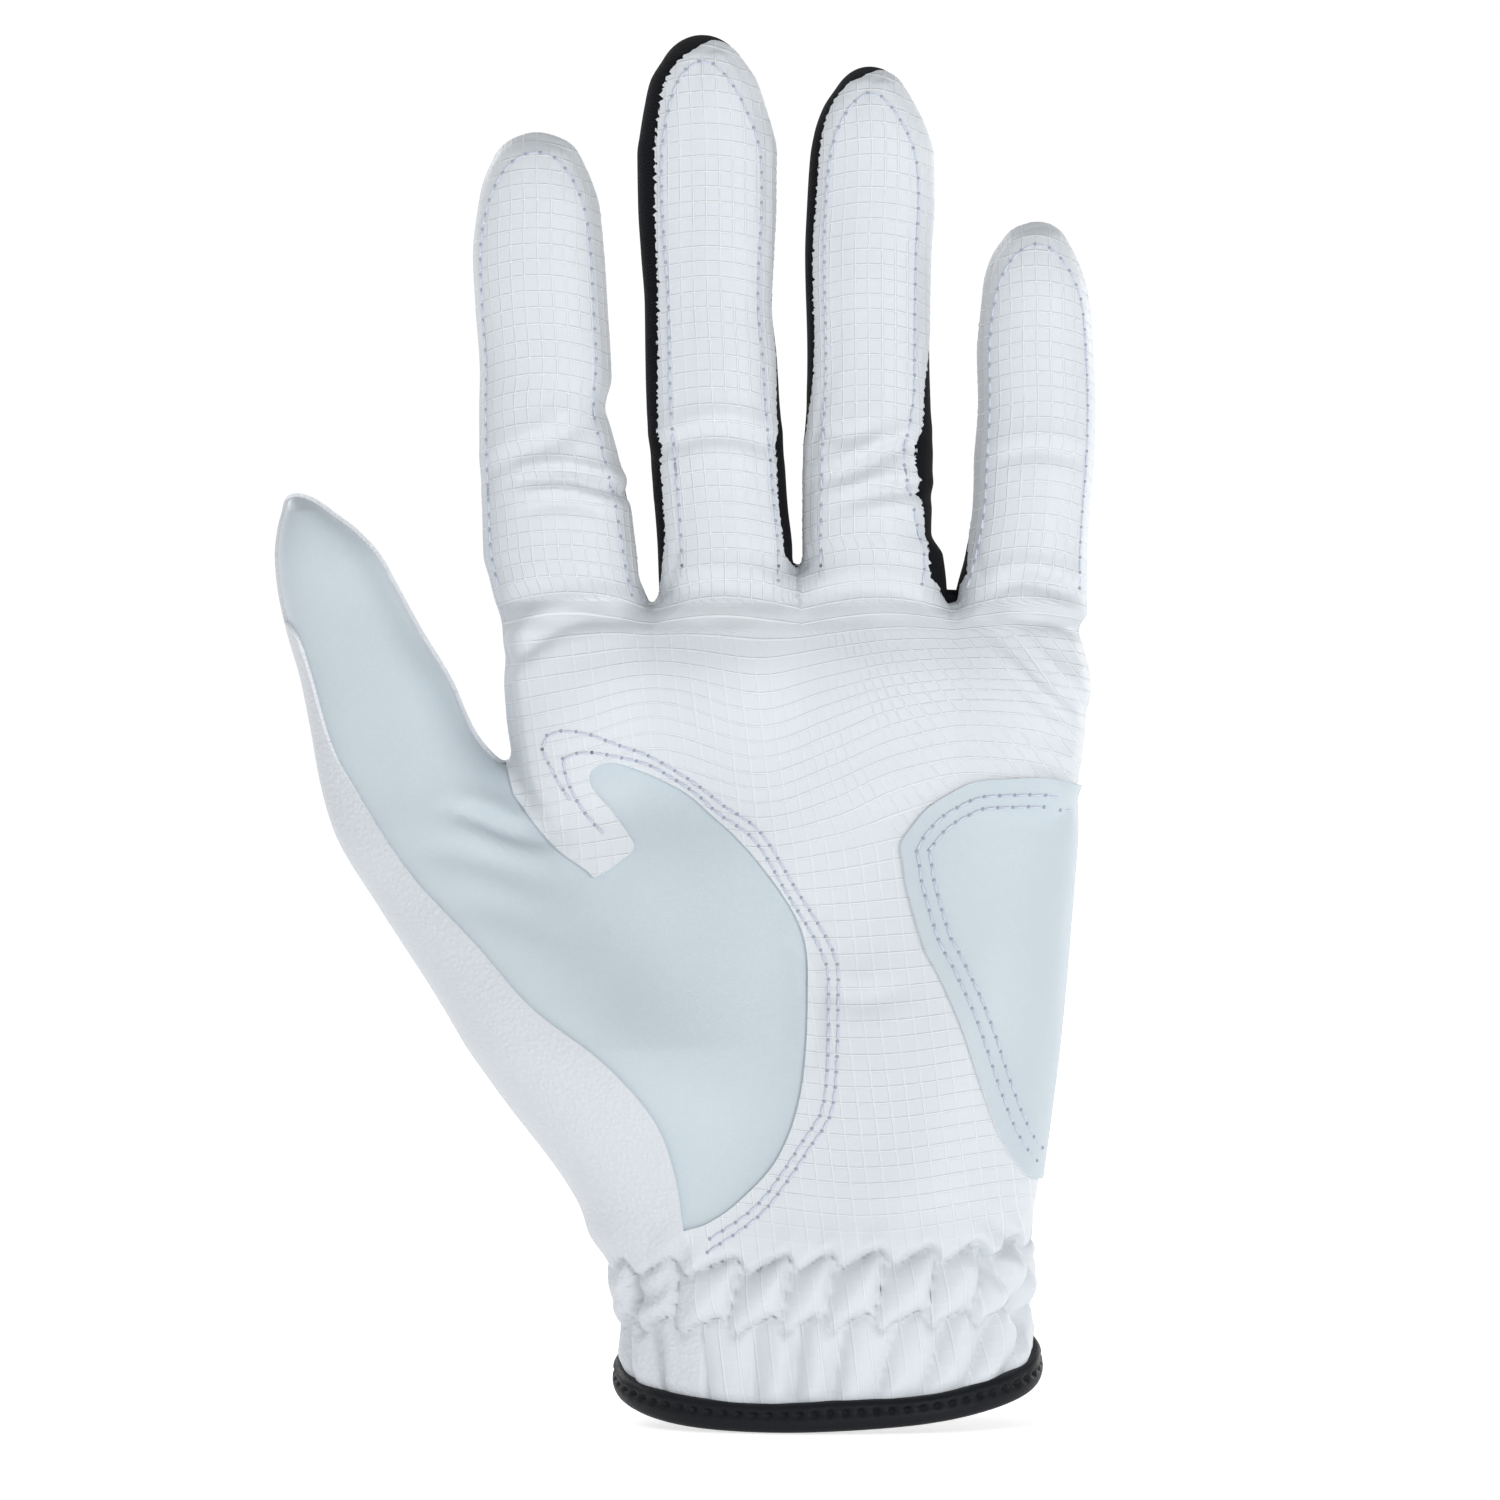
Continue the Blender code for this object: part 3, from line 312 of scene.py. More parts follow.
def body_value(points):
    x, y, z = np.asarray(points).T
    fingers = limb_value(x, y, z, "index")
    for name in FINGER_NAMES[1:]:
        fingers = np.minimum(fingers, limb_value(x, y, z, name))
    hand = smooth_min(palm_value(x, y, z), limb_value(x, y, z, "thumb"), np.interp(z, *THUMB_BLEND))
    return smooth_min(fingers, hand, np.interp(np.abs(y), WEB_BLEND_LEVELS, WEB_BLEND))


def body_gradient(points, step=0.05):
    gradient = np.empty_like(points)
    for axis in range(3):
        shift = np.zeros(3)
        shift[axis] = step
        gradient[:, axis] = (body_value(points + shift) - body_value(points - shift)) / (2 * step)
    return gradient


def hem_height(x, y):
    """Height of the cuff's lower edge."""
    return HEM_SLOPE[1] * (y - HEM_START[0]) + HEM_SLOPE[0] * x + HEM_START[1]


# ---- meshing ----------------------------------------------------------------------------------
def surface_nets(value, axes):
    """Quads of the zero surface of value, sampled on the grid of the three axes."""
    inside = value < 0
    shape = np.array(value.shape) - 1
    count = np.zeros(shape, np.int8)
    corners = [(i, j, k) for i in (0, 1) for j in (0, 1) for k in (0, 1)]
    for i, j, k in corners:
        count += inside[i:i + shape[0], j:j + shape[1], k:k + shape[2]]
    cells = np.argwhere((count > 0) & (count < 8))
    number = np.full(shape, -1)
    number[tuple(cells.T)] = np.arange(len(cells))
    total = np.zeros((len(cells), 3))
    hits = np.zeros(len(cells))
    for corner in corners:
        for axis in range(3):
            if corner[axis]:
                continue
            other = list(corner)
            other[axis] = 1
            a = value[tuple((cells + corner).T)]
            b = value[tuple((cells + other).T)]
            cross = (a < 0) != (b < 0)
            t = np.where(cross, a / np.where(cross, a - b, 1.0), 0.0)
            place = np.tile(np.array(corner, float), (len(cells), 1))
            place[:, axis] = t
            total += place * cross[:, None]
            hits += cross
    spot = cells + total / hits[:, None]
    vertices = np.stack([np.interp(spot[:, k], np.arange(len(axes[k])), axes[k]) for k in range(3)],
                        axis=1)
    quads = []
    for axis in range(3):
        u, v = (axis + 1) % 3, (axis + 2) % 3
        here = [slice(None)] * 3
        there = [slice(None)] * 3
        here[axis], there[axis] = slice(0, -1), slice(1, None)
        change = inside[tuple(here)] != inside[tuple(there)]
        spots = np.argwhere(change)
        spots = spots[(spots[:, u] > 0) & (spots[:, v] > 0)]
        spots = spots[(spots[:, u] < shape[u]) & (spots[:, v] < shape[v])]
        ring = []
        for du, dv in ((-1, -1), (0, -1), (0, 0), (-1, 0)):
            cell = spots.copy()
            cell[:, u] += du
            cell[:, v] += dv
            ring.append(number[tuple(cell.T)])
        ring = np.stack(ring, axis=1)
        outward = inside[tuple(spots.T)]
        ring[~outward] = ring[~outward][:, ::-1]
        quads.append(ring)
    return vertices, np.concatenate(quads)


RELAX_ROUNDS = 3
LONGEST_STEP = 0.6
# grid pitch in x, in y, in z at the cuff and in z above it; and the box of the grid
PITCH = (0.62, 0.8, 0.42, 0.66)
GRID_BOX = ((-93.0, 46.0), (-27.0, 25.0), (-5.0, 226.0))
CUFF_TOP = 40.0


def relax(vertices, faces):
    """Even out the mesh while it stays on the implicit surface."""
    pairs = np.concatenate([faces[:, [0, 1]], faces[:, [1, 2]], faces[:, [2, 0]]])
    degree = np.bincount(pairs.ravel(), minlength=len(vertices)).astype(float)
    for _ in range(RELAX_ROUNDS):
        mean = np.zeros_like(vertices)
        for axis in range(3):
            mean[:, axis] = np.bincount(pairs[:, 0], vertices[pairs[:, 1], axis], len(vertices))
            mean[:, axis] += np.bincount(pairs[:, 1], vertices[pairs[:, 0], axis], len(vertices))
        vertices = vertices + 0.5 * (mean / degree[:, None] - vertices)
        gradient = body_gradient(vertices)
        size = np.maximum((gradient ** 2).sum(axis=1), 0.05)
        step = np.clip(body_value(vertices) / size, -LONGEST_STEP, LONGEST_STEP)
        vertices = vertices - gradient * step[:, None]
    return vertices


def mesh_body():
    pitch_x, pitch_y, pitch_cuff, pitch_z = np.array(PITCH) * 1.0
    (low_x, high_x), (low_y, high_y), (low_z, high_z) = GRID_BOX
    axis_x = np.arange(low_x, high_x, pitch_x)
    axis_y = np.arange(low_y, high_y, pitch_y)
    axis_z = np.concatenate([np.arange(low_z, CUFF_TOP, pitch_cuff), np.arange(CUFF_TOP, high_z, pitch_z)])
    grid = np.stack(np.meshgrid(axis_x, axis_y, axis_z, indexing="ij"), axis=-1)
    value = np.empty(grid.shape[:3])
    for k in range(len(axis_x)):
        value[k] = body_value(grid[k].reshape(-1, 3)).reshape(value.shape[1:])
    vertices, quads = surface_nets(value, (axis_x, axis_y, axis_z))
    faces = np.concatenate([quads[:, [0, 1, 2]], quads[:, [0, 2, 3]]])
    return relax(vertices, faces), faces


SNAP = 0.03


def split(vertices, faces, field):
    """Cut the triangles along the zero line of a field, which is a function of the points.

    A corner nearer than SNAP counts as on the line, so that no sliver is cut off.
    """
    value = field(vertices)
    sign = np.where(np.abs(value) < SNAP, 0, np.sign(value)).astype(int)
    corner = sign[faces]
    mixed = (corner.max(axis=1) > 0) & (corner.min(axis=1) < 0)
    kept, cut = faces[~mixed], faces[mixed]
    sides = np.sort(np.concatenate([cut[:, [0, 1]], cut[:, [1, 2]], cut[:, [2, 0]]]), axis=1)
    sides = sides[sign[sides[:, 0]] * sign[sides[:, 1]] < 0]
    keys = np.unique(sides[:, 0].astype(np.int64) * len(vertices) + sides[:, 1])
    a, b = keys // len(vertices), keys % len(vertices)
    t = value[a] / (value[a] - value[b])
    added = vertices[a] + (vertices[b] - vertices[a]) * t[:, None]

    def middle(p, q):
        key = np.minimum(p, q).astype(np.int64) * len(vertices) + np.maximum(p, q)
        return len(vertices) + np.searchsorted(keys, key)

    signs = sign[cut]
    zeros = (signs == 0).sum(axis=1)
    lone = np.where(zeros == 1, np.argmax(signs == 0, axis=1), 0)
    flip = signs.sum(axis=1) > 0
    odd = np.where(flip[:, None], signs < 0, signs > 0)
    lone = np.where(zeros == 0, np.argmax(odd, axis=1), lone)
    rows = np.arange(len(cut))
    first, second, third = (cut[rows, (lone + k) % 3] for k in range(3))
    two = zeros == 0
    p, q, r = first[two], second[two], third[two]
    pq, pr = middle(p, q), middle(p, r)
    pieces = [kept, np.stack([p, pq, pr], 1), np.stack([pq, q, r], 1), np.stack([pq, r, pr], 1)]
    p, q, r = first[~two], second[~two], third[~two]
    qr = middle(q, r)
    pieces += [np.stack([p, q, qr], 1), np.stack([p, qr, r], 1)]
    return np.concatenate([vertices, added]), np.concatenate(pieces)


# ---- seam fields ------------------------------------------------------------------------------
def joint_place(name):
    return np.array(JOINTS[name]["pos_m"]) * PER_METRE


def limb_frame(name):
    """Base knuckle, unit vector along the limb, and the distance to the middle knuckle."""
    base = joint_place(name + "_base_knuckle")
    middle = joint_place(name + "_middle_knuckle")
    run = middle - base
    length = float(np.linalg.norm(run))
    return base, run / length, length


FRAMES = {name: limb_frame(name) for name in LIMBS}


# lines between the fingers: x at a height, that height, and the drift in x per millimetre above it
GAP_LINES = ((-28.9, 131, -0.07), (-5.1, 136, -0.015), (19.6, 131, 0.02))
THUMB_GAP = ((60, 99.8, 125), (-40.0, -50.2, -57.0))
THUMB = 4


def limb_number(x, z):
    """0 to 3 for the fingers and 4 for the thumb, by the gap lines between them."""
    number = np.zeros(len(x), int)
    for k, (start, height, drift) in enumerate(GAP_LINES):
        number[x > start + drift * (z - height)] = k + 1
    number[x < np.interp(z, *THUMB_GAP)] = THUMB
    return number


def along_limb(points, which):
    """Distance past cut line 0 or 1 of the limb that each point belongs to."""
    x, _, z = points.T
    number = limb_number(x, z)
    value = np.empty(len(points))
    for k, name in enumerate(LIMBS):
        base, axis, _ = FRAMES[name]
        mine = number == k
        value[mine] = (points[mine] - base) @ axis - LIMBS[name]["cut"][which]
    return value


RAW_EDGE = 0.11


def ragged(points, size):
    """A small irregular offset for raw leather edges."""
    x, y, z = points.T
    waves = np.sin(4.1 * z + 1.7 * x) + np.sin(6.7 * z - 2.3 * y + 1.0) * 0.7 + np.sin(9.9 * (x + z)) * 0.5
    return size * waves


def across_finger(x, z, name):
    """-1 at a finger's thumb side, 0 at its middle, 1 at its other side."""
    left, right = edges_at(z, LIMBS[name]["edges"])
    return (x - (left + right) / 2.0) / ((right - left) / 2.0)


def palm_level(points):
    """y of the palm side's edge."""
    x, _, z = points.T
    number = limb_number(x, z)
    level = np.zeros(len(points))
    for k, name in enumerate(FINGER_NAMES):
        mine = number == k
        outer, inner = edges_at(z[mine], PALM_LEVEL[name])
        share = smoothstep(-0.45, 0.45, across_finger(x[mine], z[mine], name))
        level[mine] = outer + (inner - outer) * share
    for gap, top in WEB_GAPS:
        web = WEB_RISE * np.exp(-((x - gap) / WEB_HALF) ** 2)
        level = level + web * smoothstep(top + 3.0, top - 0.2, z)
    below = smoothstep(128, 112, z)
    side = curve(z, OUTER_SEAM_LEVEL) * smoothstep(10, 30, x)
    return level * (1 - below) + side * below


def back_level(points):
    """y of the back's edge, which meets the palm side's where no side panel lies between them."""
    x, _, z = points.T
    number = limb_number(x, z)
    palm = palm_level(points)
    level = np.full(len(points), BACK_LEVEL)
    for k, name in enumerate(FINGER_NAMES):
        mine = number == k
        across = across_finger(x[mine], z[mine], name)
        if name == "index":
            share = smoothstep(-0.3, 0.5, across)
        elif name == "little":
            share = smoothstep(0.3, -0.5, across)
        else:
            share = np.ones(mine.sum())
        level[mine] = palm[mine] + (BACK_LEVEL - palm[mine]) * share
    below = smoothstep(124, 116, z)
    return level * (1 - below) + palm * below


def front_field(points):
    """Negative on the palm side."""
    raw = ragged(points, RAW_EDGE) * smoothstep(128, 132, points[:, 2])
    return points[:, 1] - palm_level(points) + raw


def back_field(points):
    """Positive on the back."""
    return points[:, 1] - back_level(points)


THENAR_LINE = soft_line(THENAR_EDGE)
HEEL_LINE = soft_line(HEEL_EDGE)
TONGUE_LINE = soft_line(TONGUE_TOP)
THUMB_LINE = soft_line(THUMB_SEAM)


CROTCH_LINE = ((99.8, 125), (-50.1, -57.0))


def thumb_domain(points):
    """Negative on the thumb's leather and side panel."""
    x, y, z = points.T
    distance, side, _ = line_distance(x, z, THENAR_LINE)
    front = -distance * side
    seam, seam_side, _ = line_distance(x, z, THUMB_LINE)
    front = np.where(z < THENAR_EDGE[0][1], -seam * seam_side, front)
    crotch = x - np.interp(z, *CROTCH_LINE)
    front = np.where((z > CROTCH_LINE[0][0]) & (x < -49.5), crotch, front)
    back = x - curve(z, BACK_THUMB_SEAM)
    return np.where(y < 0, front, back)


def thumb_leather(points):
    """Negative on the smooth leather of the thumb's palm side."""
    x, y, z = points.T
    distance, side, _ = line_distance(x, z, THUMB_LINE)
    return np.maximum(distance * side, y)


# levels of y that a seam doesn't cross, and the field's value beyond them
HEEL_DEPTH = (6, 5.0)
INSERT_FRONT = -2
OUTSIDE = 9.0


def heel_field(points):
    """Negative on the heel patch."""
    x, y, z = points.T
    distance, side, _ = line_distance(x, z, HEEL_LINE)
    return np.where(y < HEEL_DEPTH[0], -distance * side, HEEL_DEPTH[1])


def tongue_field(points):
    """Negative below the top of the crotch tongue."""
    x, _, z = points.T
    distance, side, _ = line_distance(x, z, TONGUE_LINE)
    return distance * side


def slit_field(points):
    """Negative inside the wrist slit."""
    x, y, z = points.T
    over = np.maximum(z - SLIT_TOP, 0.0)
    half = SLIT_HALF[0] - SLIT_HALF[1] * np.clip(z / SLIT_TOP, 0, 1)
    return np.where(y > 0, np.hypot(x - SLIT_X, over) - half, OUTSIDE)


def insert_line(x, which):
    """Height of the stretch insert's lower (0) or upper (1) seam."""
    return INSERT_BAND[which] - INSERT_BOW[0] * (x - INSERT_BOW[1]) ** 2


def insert_field(points, which):
    """Height above a seam of the stretch insert."""
    x, y, z = points.T
    return np.where(y > INSERT_FRONT, z - insert_line(x, which), -OUTSIDE)


def hem_field(points):
    """Height above the edge that the binding hides."""
    x, y, z = points.T
    return z - hem_height(x, y) - 1.0


# ---- relief of the leather: creases, seams and the gathered cuff --------------------------------
# (points x, z), depth of the valley, half width, fold side: +1 puts the ridge on the left
CREASES = [
    ([(-55.0, 150.5), (-50.0, 153.6), (-43.1, 156.6), (-35.0, 162.6)], 0.55, 1.5, 1),
    ([(-50.5, 150.0), (-43.0, 150.3), (-37.0, 149.2), (-31.0, 147.6)], 1.05, 1.1, 1),
    ([(-48.0, 145.6), (-42.0, 146.6), (-36.0, 145.4)], 0.35, 1.2, 1),
    ([(-53.0, 119.5), (-48.0, 123.6), (-43.0, 126.9), (-37.0, 128.4), (-30.5, 128.9)], 0.8, 1.5, 1),
    ([(-54.5, 126.5), (-50.0, 130.5), (-44.0, 133.0)], 0.35, 1.6, 1),
    ([(-29.5, 154.4), (-20.0, 157.2), (-14.0, 157.0), (-7.0, 154.8)], 0.6, 1.4, 1),
    ([(-27.0, 132.0), (-18.0, 133.2), (-8.0, 131.6)], 0.45, 1.5, 1),
    ([(-1.5, 150.2), (3.6, 151.4), (9.0, 154.2), (15.5, 156.6)], 0.75, 1.2, 1),
    ([(1.5, 146.4), (8.0, 148.0), (13.5, 148.2), (17.7, 147.4)], 0.8, 1.1, 1),
    ([(-3.5, 158.5), (3.0, 157.0), (8.0, 158.6)], 0.4, 1.2, -1),
    ([(-3.0, 131.6), (6.0, 132.8), (16.0, 131.0)], 0.35, 1.4, 1),
    ([(24.5, 127.6), (29.5, 122.6), (34.5, 117.6), (41.5, 112.4)], 0.75, 1.3, 1),
    ([(27.0, 121.0), (32.0, 115.8), (38.0, 111.5)], 0.45, 1.1, 1),
    ([(25.0, 132.2), (31.0, 134.0), (40.6, 131.6)], 0.75, 1.3, 1),
    ([(30.5, 128.0), (36.0, 127.6), (42.5, 125.8)], 0.85, 1.2, 1),
    ([(26.0, 153.0), (33.0, 154.6), (41.0, 153.0)], 0.35, 1.3, 1),
    ([(-60.0, 97.6), (-55.0, 96.2), (-50.0, 94.2), (-43.0, 92.4)], 0.9, 1.5, 1),
    ([(-66.0, 92.0), (-57.0, 90.6), (-49.0, 87.8), (-43.0, 84.4)], 0.4, 2.2, 1),
    ([(-62.0, 84.0), (-50.0, 82.0), (-40.0, 76.0)], 0.28, 2.6, 1),
    ([(-3.0, 69.2), (5.0, 67.6), (12.0, 69.5)], 0.35, 1.8, 1),
    ([(-4.6, 77.0), (-2.0, 69.0), (-2.2, 58.0)], 0.45, 1.3, -1),
    ([(30.0, 106.6), (36.0, 104.0), (41.0, 103.6)], 0.4, 1.2, 1),
    ([(21.0, 30.0), (26.0, 24.0), (31.5, 14.0)], 0.7, 1.2, 1),
    ([(26.0, 33.0), (30.0, 27.0), (34.0, 21.0)], 0.6, 1.1, 1),
    ([(-22.0, 31.0), (-27.0, 22.0), (-33.5, 20.0)], 0.7, 1.4, 1),
]
BACK_CREASES = [
    ([(-54.0, 158.0), (-46.0, 159.4), (-36.5, 157.6)], 0.5, 1.5, 1),
    ([(-53.0, 154.0), (-45.0, 154.6), (-35.0, 153.0)], 0.35, 1.3, -1),
    ([(-52.0, 128.0), (-44.0, 130.4), (-33.0, 129.6)], 0.4, 1.6, 1),
    ([(-28.5, 163.5), (-19.0, 165.2), (-9.0, 163.0)], 0.5, 1.5, 1),
    ([(-28.0, 159.4), (-18.0, 160.2), (-8.5, 158.8)], 0.35, 1.3, -1),
    ([(-3.5, 161.5), (6.0, 163.2), (15.5, 161.0)], 0.5, 1.5, 1),
    ([(-3.0, 157.4), (6.0, 158.2), (15.5, 156.6)], 0.3, 1.3, -1),
    ([(24.0, 154.5), (32.0, 156.0), (41.0, 154.0)], 0.5, 1.4, 1),
    ([(20.0, 127.6), (29.0, 129.8), (39.0, 127.0)], 0.4, 1.6, 1),
    ([(-76.0, 104.0), (-68.0, 107.5), (-58.0, 107.0)], 0.45, 1.8, 1),
    ([(-83.0, 124.5), (-76.0, 126.5), (-67.0, 125.0)], 0.4, 1.5, 1),
    ([(-30.0, 82.0), (-14.0, 78.0), (6.0, 79.5)], 0.25, 2.6, 1),
    ([(-24.0, 60.0), (-12.0, 57.0), (-3.0, 58.0)], 0.3, 2.2, 1),
    ([(10.0, 58.5), (20.0, 56.0), (31.0, 58.0)], 0.3, 2.2, -1),
]
CREASE_DEPTH = 1.35
CREASE_REACH = 24.0
# the folds beside a valley: share of its depth, distance and half width in valley widths
CREASE_FOLDS = ((0.62, 1.9, 1.25), (0.35, -2.0, 1.4))
# levels of y between which the palm side's relief starts, and the back's
FRONT_BLEND = (2.5, -3.0)
BACK_BLEND = (-1.0, 3.0)
# heights between which the gathers start, and the waves of the leather end
GATHER_BLEND = (36, 30)
WAVE_BLEND = (46, 30)
FINGER_START = 126
CUFF_ROWS = ((17.4, 0.035), (26.8, 0.055))
PUFF_PITCH = 8.0
PUFF_DEPTH = 3.0
PUFF_LEAN = 0.026
SAW_DEPTH = 1.3
# how deep an elastic row pulls the leather in, and how far from the row it comes out again
PINCH = 1.15
PINCH_REACH = 0.8
FOLD_REACH = 4.5
# heights above the hem between which the pleats run in under the binding, and how deep
TUCK = (7.0, 3.6)
TUCK_DEPTH = 0.6
WRIST = (33.2, 20.6)
STITCH_PITCH = 2.4
# hollows (-) and swells (+) of the palm side: height, centre (x, z), spread
FRONT_SHAPES = ((-4.0, (-27, 101), (13, 9)), (-1.1, (-6, 128), (34, 7)), (1.1, (-22, 62), (15, 16)))
# a groove: depth, distance from the seam, half width
SEAM_GROOVE = (0.22, 2.6, 0.8)
INSERT_GROOVE = (0.35, 0.9)
WAVE_DEPTH = 0.55
WAVE_SCALE = np.array([0.07, 0.06, 0.045])


def cuff_arc(points):
    """Distance round the wrist from the middle of the palm side."""
    x, y, _ = points.T
    angles = np.linspace(-math.pi, math.pi, 721)
    ring = np.stack([WRIST[0] * np.sin(angles), -WRIST[1] * np.cos(angles)], axis=1)
    arc = np.concatenate([[0.0], np.cumsum(np.linalg.norm(np.diff(ring, axis=0), axis=1))])
    return np.interp(np.arctan2(x / WRIST[0], -y / WRIST[1]), angles, arc - arc[len(arc) // 2])


def cuff_row(points, which):
    """Height of the lower (0) or upper (1) elastic row."""
    level, slope = CUFF_ROWS[which]
    return level + slope * points[:, 0]


def cuff_relief(points):
    """Slanted puffs between the two elastic rows, and the folds that run out of them."""
    x, y, z = points.T
    arc = cuff_arc(points)
    # puffs passed so far: their spacing varies and they lean
    share = arc / PUFF_PITCH + 0.06 * np.sin(arc / 9.1) + 0.04 * np.sin(arc / 3.7 + 1.3)
    share = share - PUFF_LEAN * (z - 22)
    cell = share - np.floor(share)
    turn = math.tau * cell
    # each row of stitches runs in a saw line under the puffs
    saw = -SAW_DEPTH * np.sin(turn + 0.5 * np.sin(turn))
    low, high = cuff_row(points, 0) + saw, cuff_row(points, 1) + saw
    size = 1.0 + 0.20 * np.sin(2.3 * np.floor(share) + 0.7)
    puff = np.sin(math.pi * cell ** 1.25) ** 0.42 * (0.75 + 0.5 * cell)
    tall = np.sin(math.pi * np.clip((z - low) / (high - low), 0, 1)) ** 0.38
    amount = np.where((z > low) & (z < high), puff * tall * PUFF_DEPTH * size, 0.0) - PINCH
    up = np.clip(z - high, 0, None)
    rise = 1.0 - np.exp(-up / PINCH_REACH)
    fold = np.abs(np.sin(math.pi * (share + 0.5))) ** 0.7
    over = PINCH * rise + rise * np.exp(-up / FOLD_REACH) * (0.45 + 0.65 * fold)
    down = np.clip(low - z, 0, None)
    # pleats hang from the lower row and spread towards the sides
    lean = -0.055 * (x / 30.0) * down
    pleat = np.abs(np.sin(math.pi * (share + 0.5 - lean))) ** 0.75
    fine = np.sin(math.pi * (2.7 * share + 0.06 * z))
    under = (1.0 - np.exp(-down / PINCH_REACH)) * (PINCH * 0.6 + (pleat - 0.45) * 1.9 + 0.18 * fine)
    amount += np.where(z >= high, over, 0.0) + np.where(z <= low, under, 0.0)
    tucked = smoothstep(*TUCK, z - hem_height(x, y))
    return amount * (1.0 - 0.8 * tucked) - TUCK_DEPTH * tucked


def creased(x, z, strength, creases):
    """Valleys of the creases, each with a fold on one side and a lower one on the other."""
    amount = np.zeros(len(x))
    for line, depth, width, fold in creases:
        near = np.abs(z - np.mean([p[1] for p in line])) < CREASE_REACH
        spot = np.where(near & (strength > 0))[0]
        distance, side, share = line_distance(x[spot], z[spot], soft_line(line, 5))
        fade = np.sin(math.pi * np.clip(share, 0.02, 0.98)) ** 0.6
        offset = distance * side * fold
        ridge = 0.0
        for height, place, reach in CREASE_FOLDS:
            ridge = ridge + height * np.exp(-((offset - place * width) / (reach * width)) ** 2)
        valley = np.exp(-(offset / width) ** 2)
        amount[spot] += CREASE_DEPTH * strength[spot] * depth * fade * (ridge - valley)
    return amount


def relief(points, normals):
    """How far the leather stands off the implicit surface."""
    x, y, z = points.T
    amount = np.zeros(len(points))
    front = smoothstep(*FRONT_BLEND, y)
    back = smoothstep(*BACK_BLEND, y)
    amount += creased(x, z, front, CREASES) + creased(x, z, back, BACK_CREASES)
    for height, centre, spread in FRONT_SHAPES:
        amount += front * height * bump(x, z, centre, spread)
    number = limb_number(x, z)
    gathered = smoothstep(*WAVE_BLEND, z)
    amount += cuff_relief(points) * smoothstep(*GATHER_BLEND, z)
    fingers = (z > FINGER_START) & (number < THUMB)
    depth, inset, half = SEAM_GROOVE
    groove = np.exp(-((-front_field(points) - inset) / half) ** 2) * fingers * (y < 0)
    amount -= depth * groove
    wave = np.array([noise.noise(Vector(p * WAVE_SCALE)) for p in points])
    amount += WAVE_DEPTH * wave * (1 - gathered) * smoothstep(0.2, 0.8, np.abs(normals[:, 1]) + 0.35)
    depth, half = INSERT_GROOVE
    for which in (0, 1):
        amount -= depth * np.exp(-(insert_field(points, which) / half) ** 2) * back * (number < THUMB)
    return amount


# ---- pattern coordinates ------------------------------------------------------------------------
GRID_PITCH = 2.5
# spacing of the upright lines in the palm and round a finger
UPRIGHT_PITCH = (2.6, 2.1)
# the level lines' wave across the palm, (x, height), and how strong it is, (height, share)
PALM_WAVE = [(-56, -4.0), (-40, -0.8), (-28, 2.4), (-11, -1.6), (0, 2.0), (11, 6.5), (22, 8.5),
             (30, 8.0), (44, 4.0)]
PALM_SWING = [(60, 0.05), (80, 0.15), (92, 0.45), (104, 1.0), (112, 1.0), (120, 0.6), (130, 0.15)]


def grid_pattern(points):
    """Cell numbers across and up the embossed leather, and how strongly the upright lines show."""
    x, y, z = points.T
    number = limb_number(x, z)
    palm_wave = curve(x, PALM_WAVE) * curve(z, PALM_SWING)
    palm_wave = palm_wave - 1.2 * np.cos((x - 6) / 8.0) * smoothstep(95, 55, z)
    up = (z - palm_wave) / GRID_PITCH
    slant = 0.62 * np.maximum(z - 92, 0) * smoothstep(-12, 14, x)
    across = (x + slant + 0.12 * z) / UPRIGHT_PITCH[0]
    strength = 0.5 + 0.5 * smoothstep(-6, 14, x) * smoothstep(88, 100, z) + 0.35 * smoothstep(70, 40, z)
    share = smoothstep(121, 135, z)
    for k, name in enumerate(FINGER_NAMES):
        mine = (number == k) & (z > 119)
        left, right = edges_at(z[mine], LIMBS[name]["edges"])
        half = (right - left) / 2.0
        side = np.clip((x[mine] - (left + right) / 2.0) / half, -1, 1)
        finger_up = (z[mine] - 2.0 * (1 - side ** 2) - 0.5 * np.sin(z[mine] / 9.0 + k)) / GRID_PITCH
        finger_across = half * np.arcsin(side) * 0.97 / UPRIGHT_PITCH[1] + 40.0
        up[mine] = up[mine] * (1 - share[mine]) + finger_up * share[mine]
        turn = smoothstep(126, 131, z[mine])
        across[mine] = across[mine] * (1 - turn) + finger_across * turn
        strength[mine] = strength[mine] * (1 - share[mine]) + share[mine]
        strength[mine] *= 0.15 + 0.85 * np.clip(np.abs(z[mine] - 128.5) / 2.5, 0, 1)
    return np.stack([across, up, np.clip(strength, 0, 1)], axis=1)


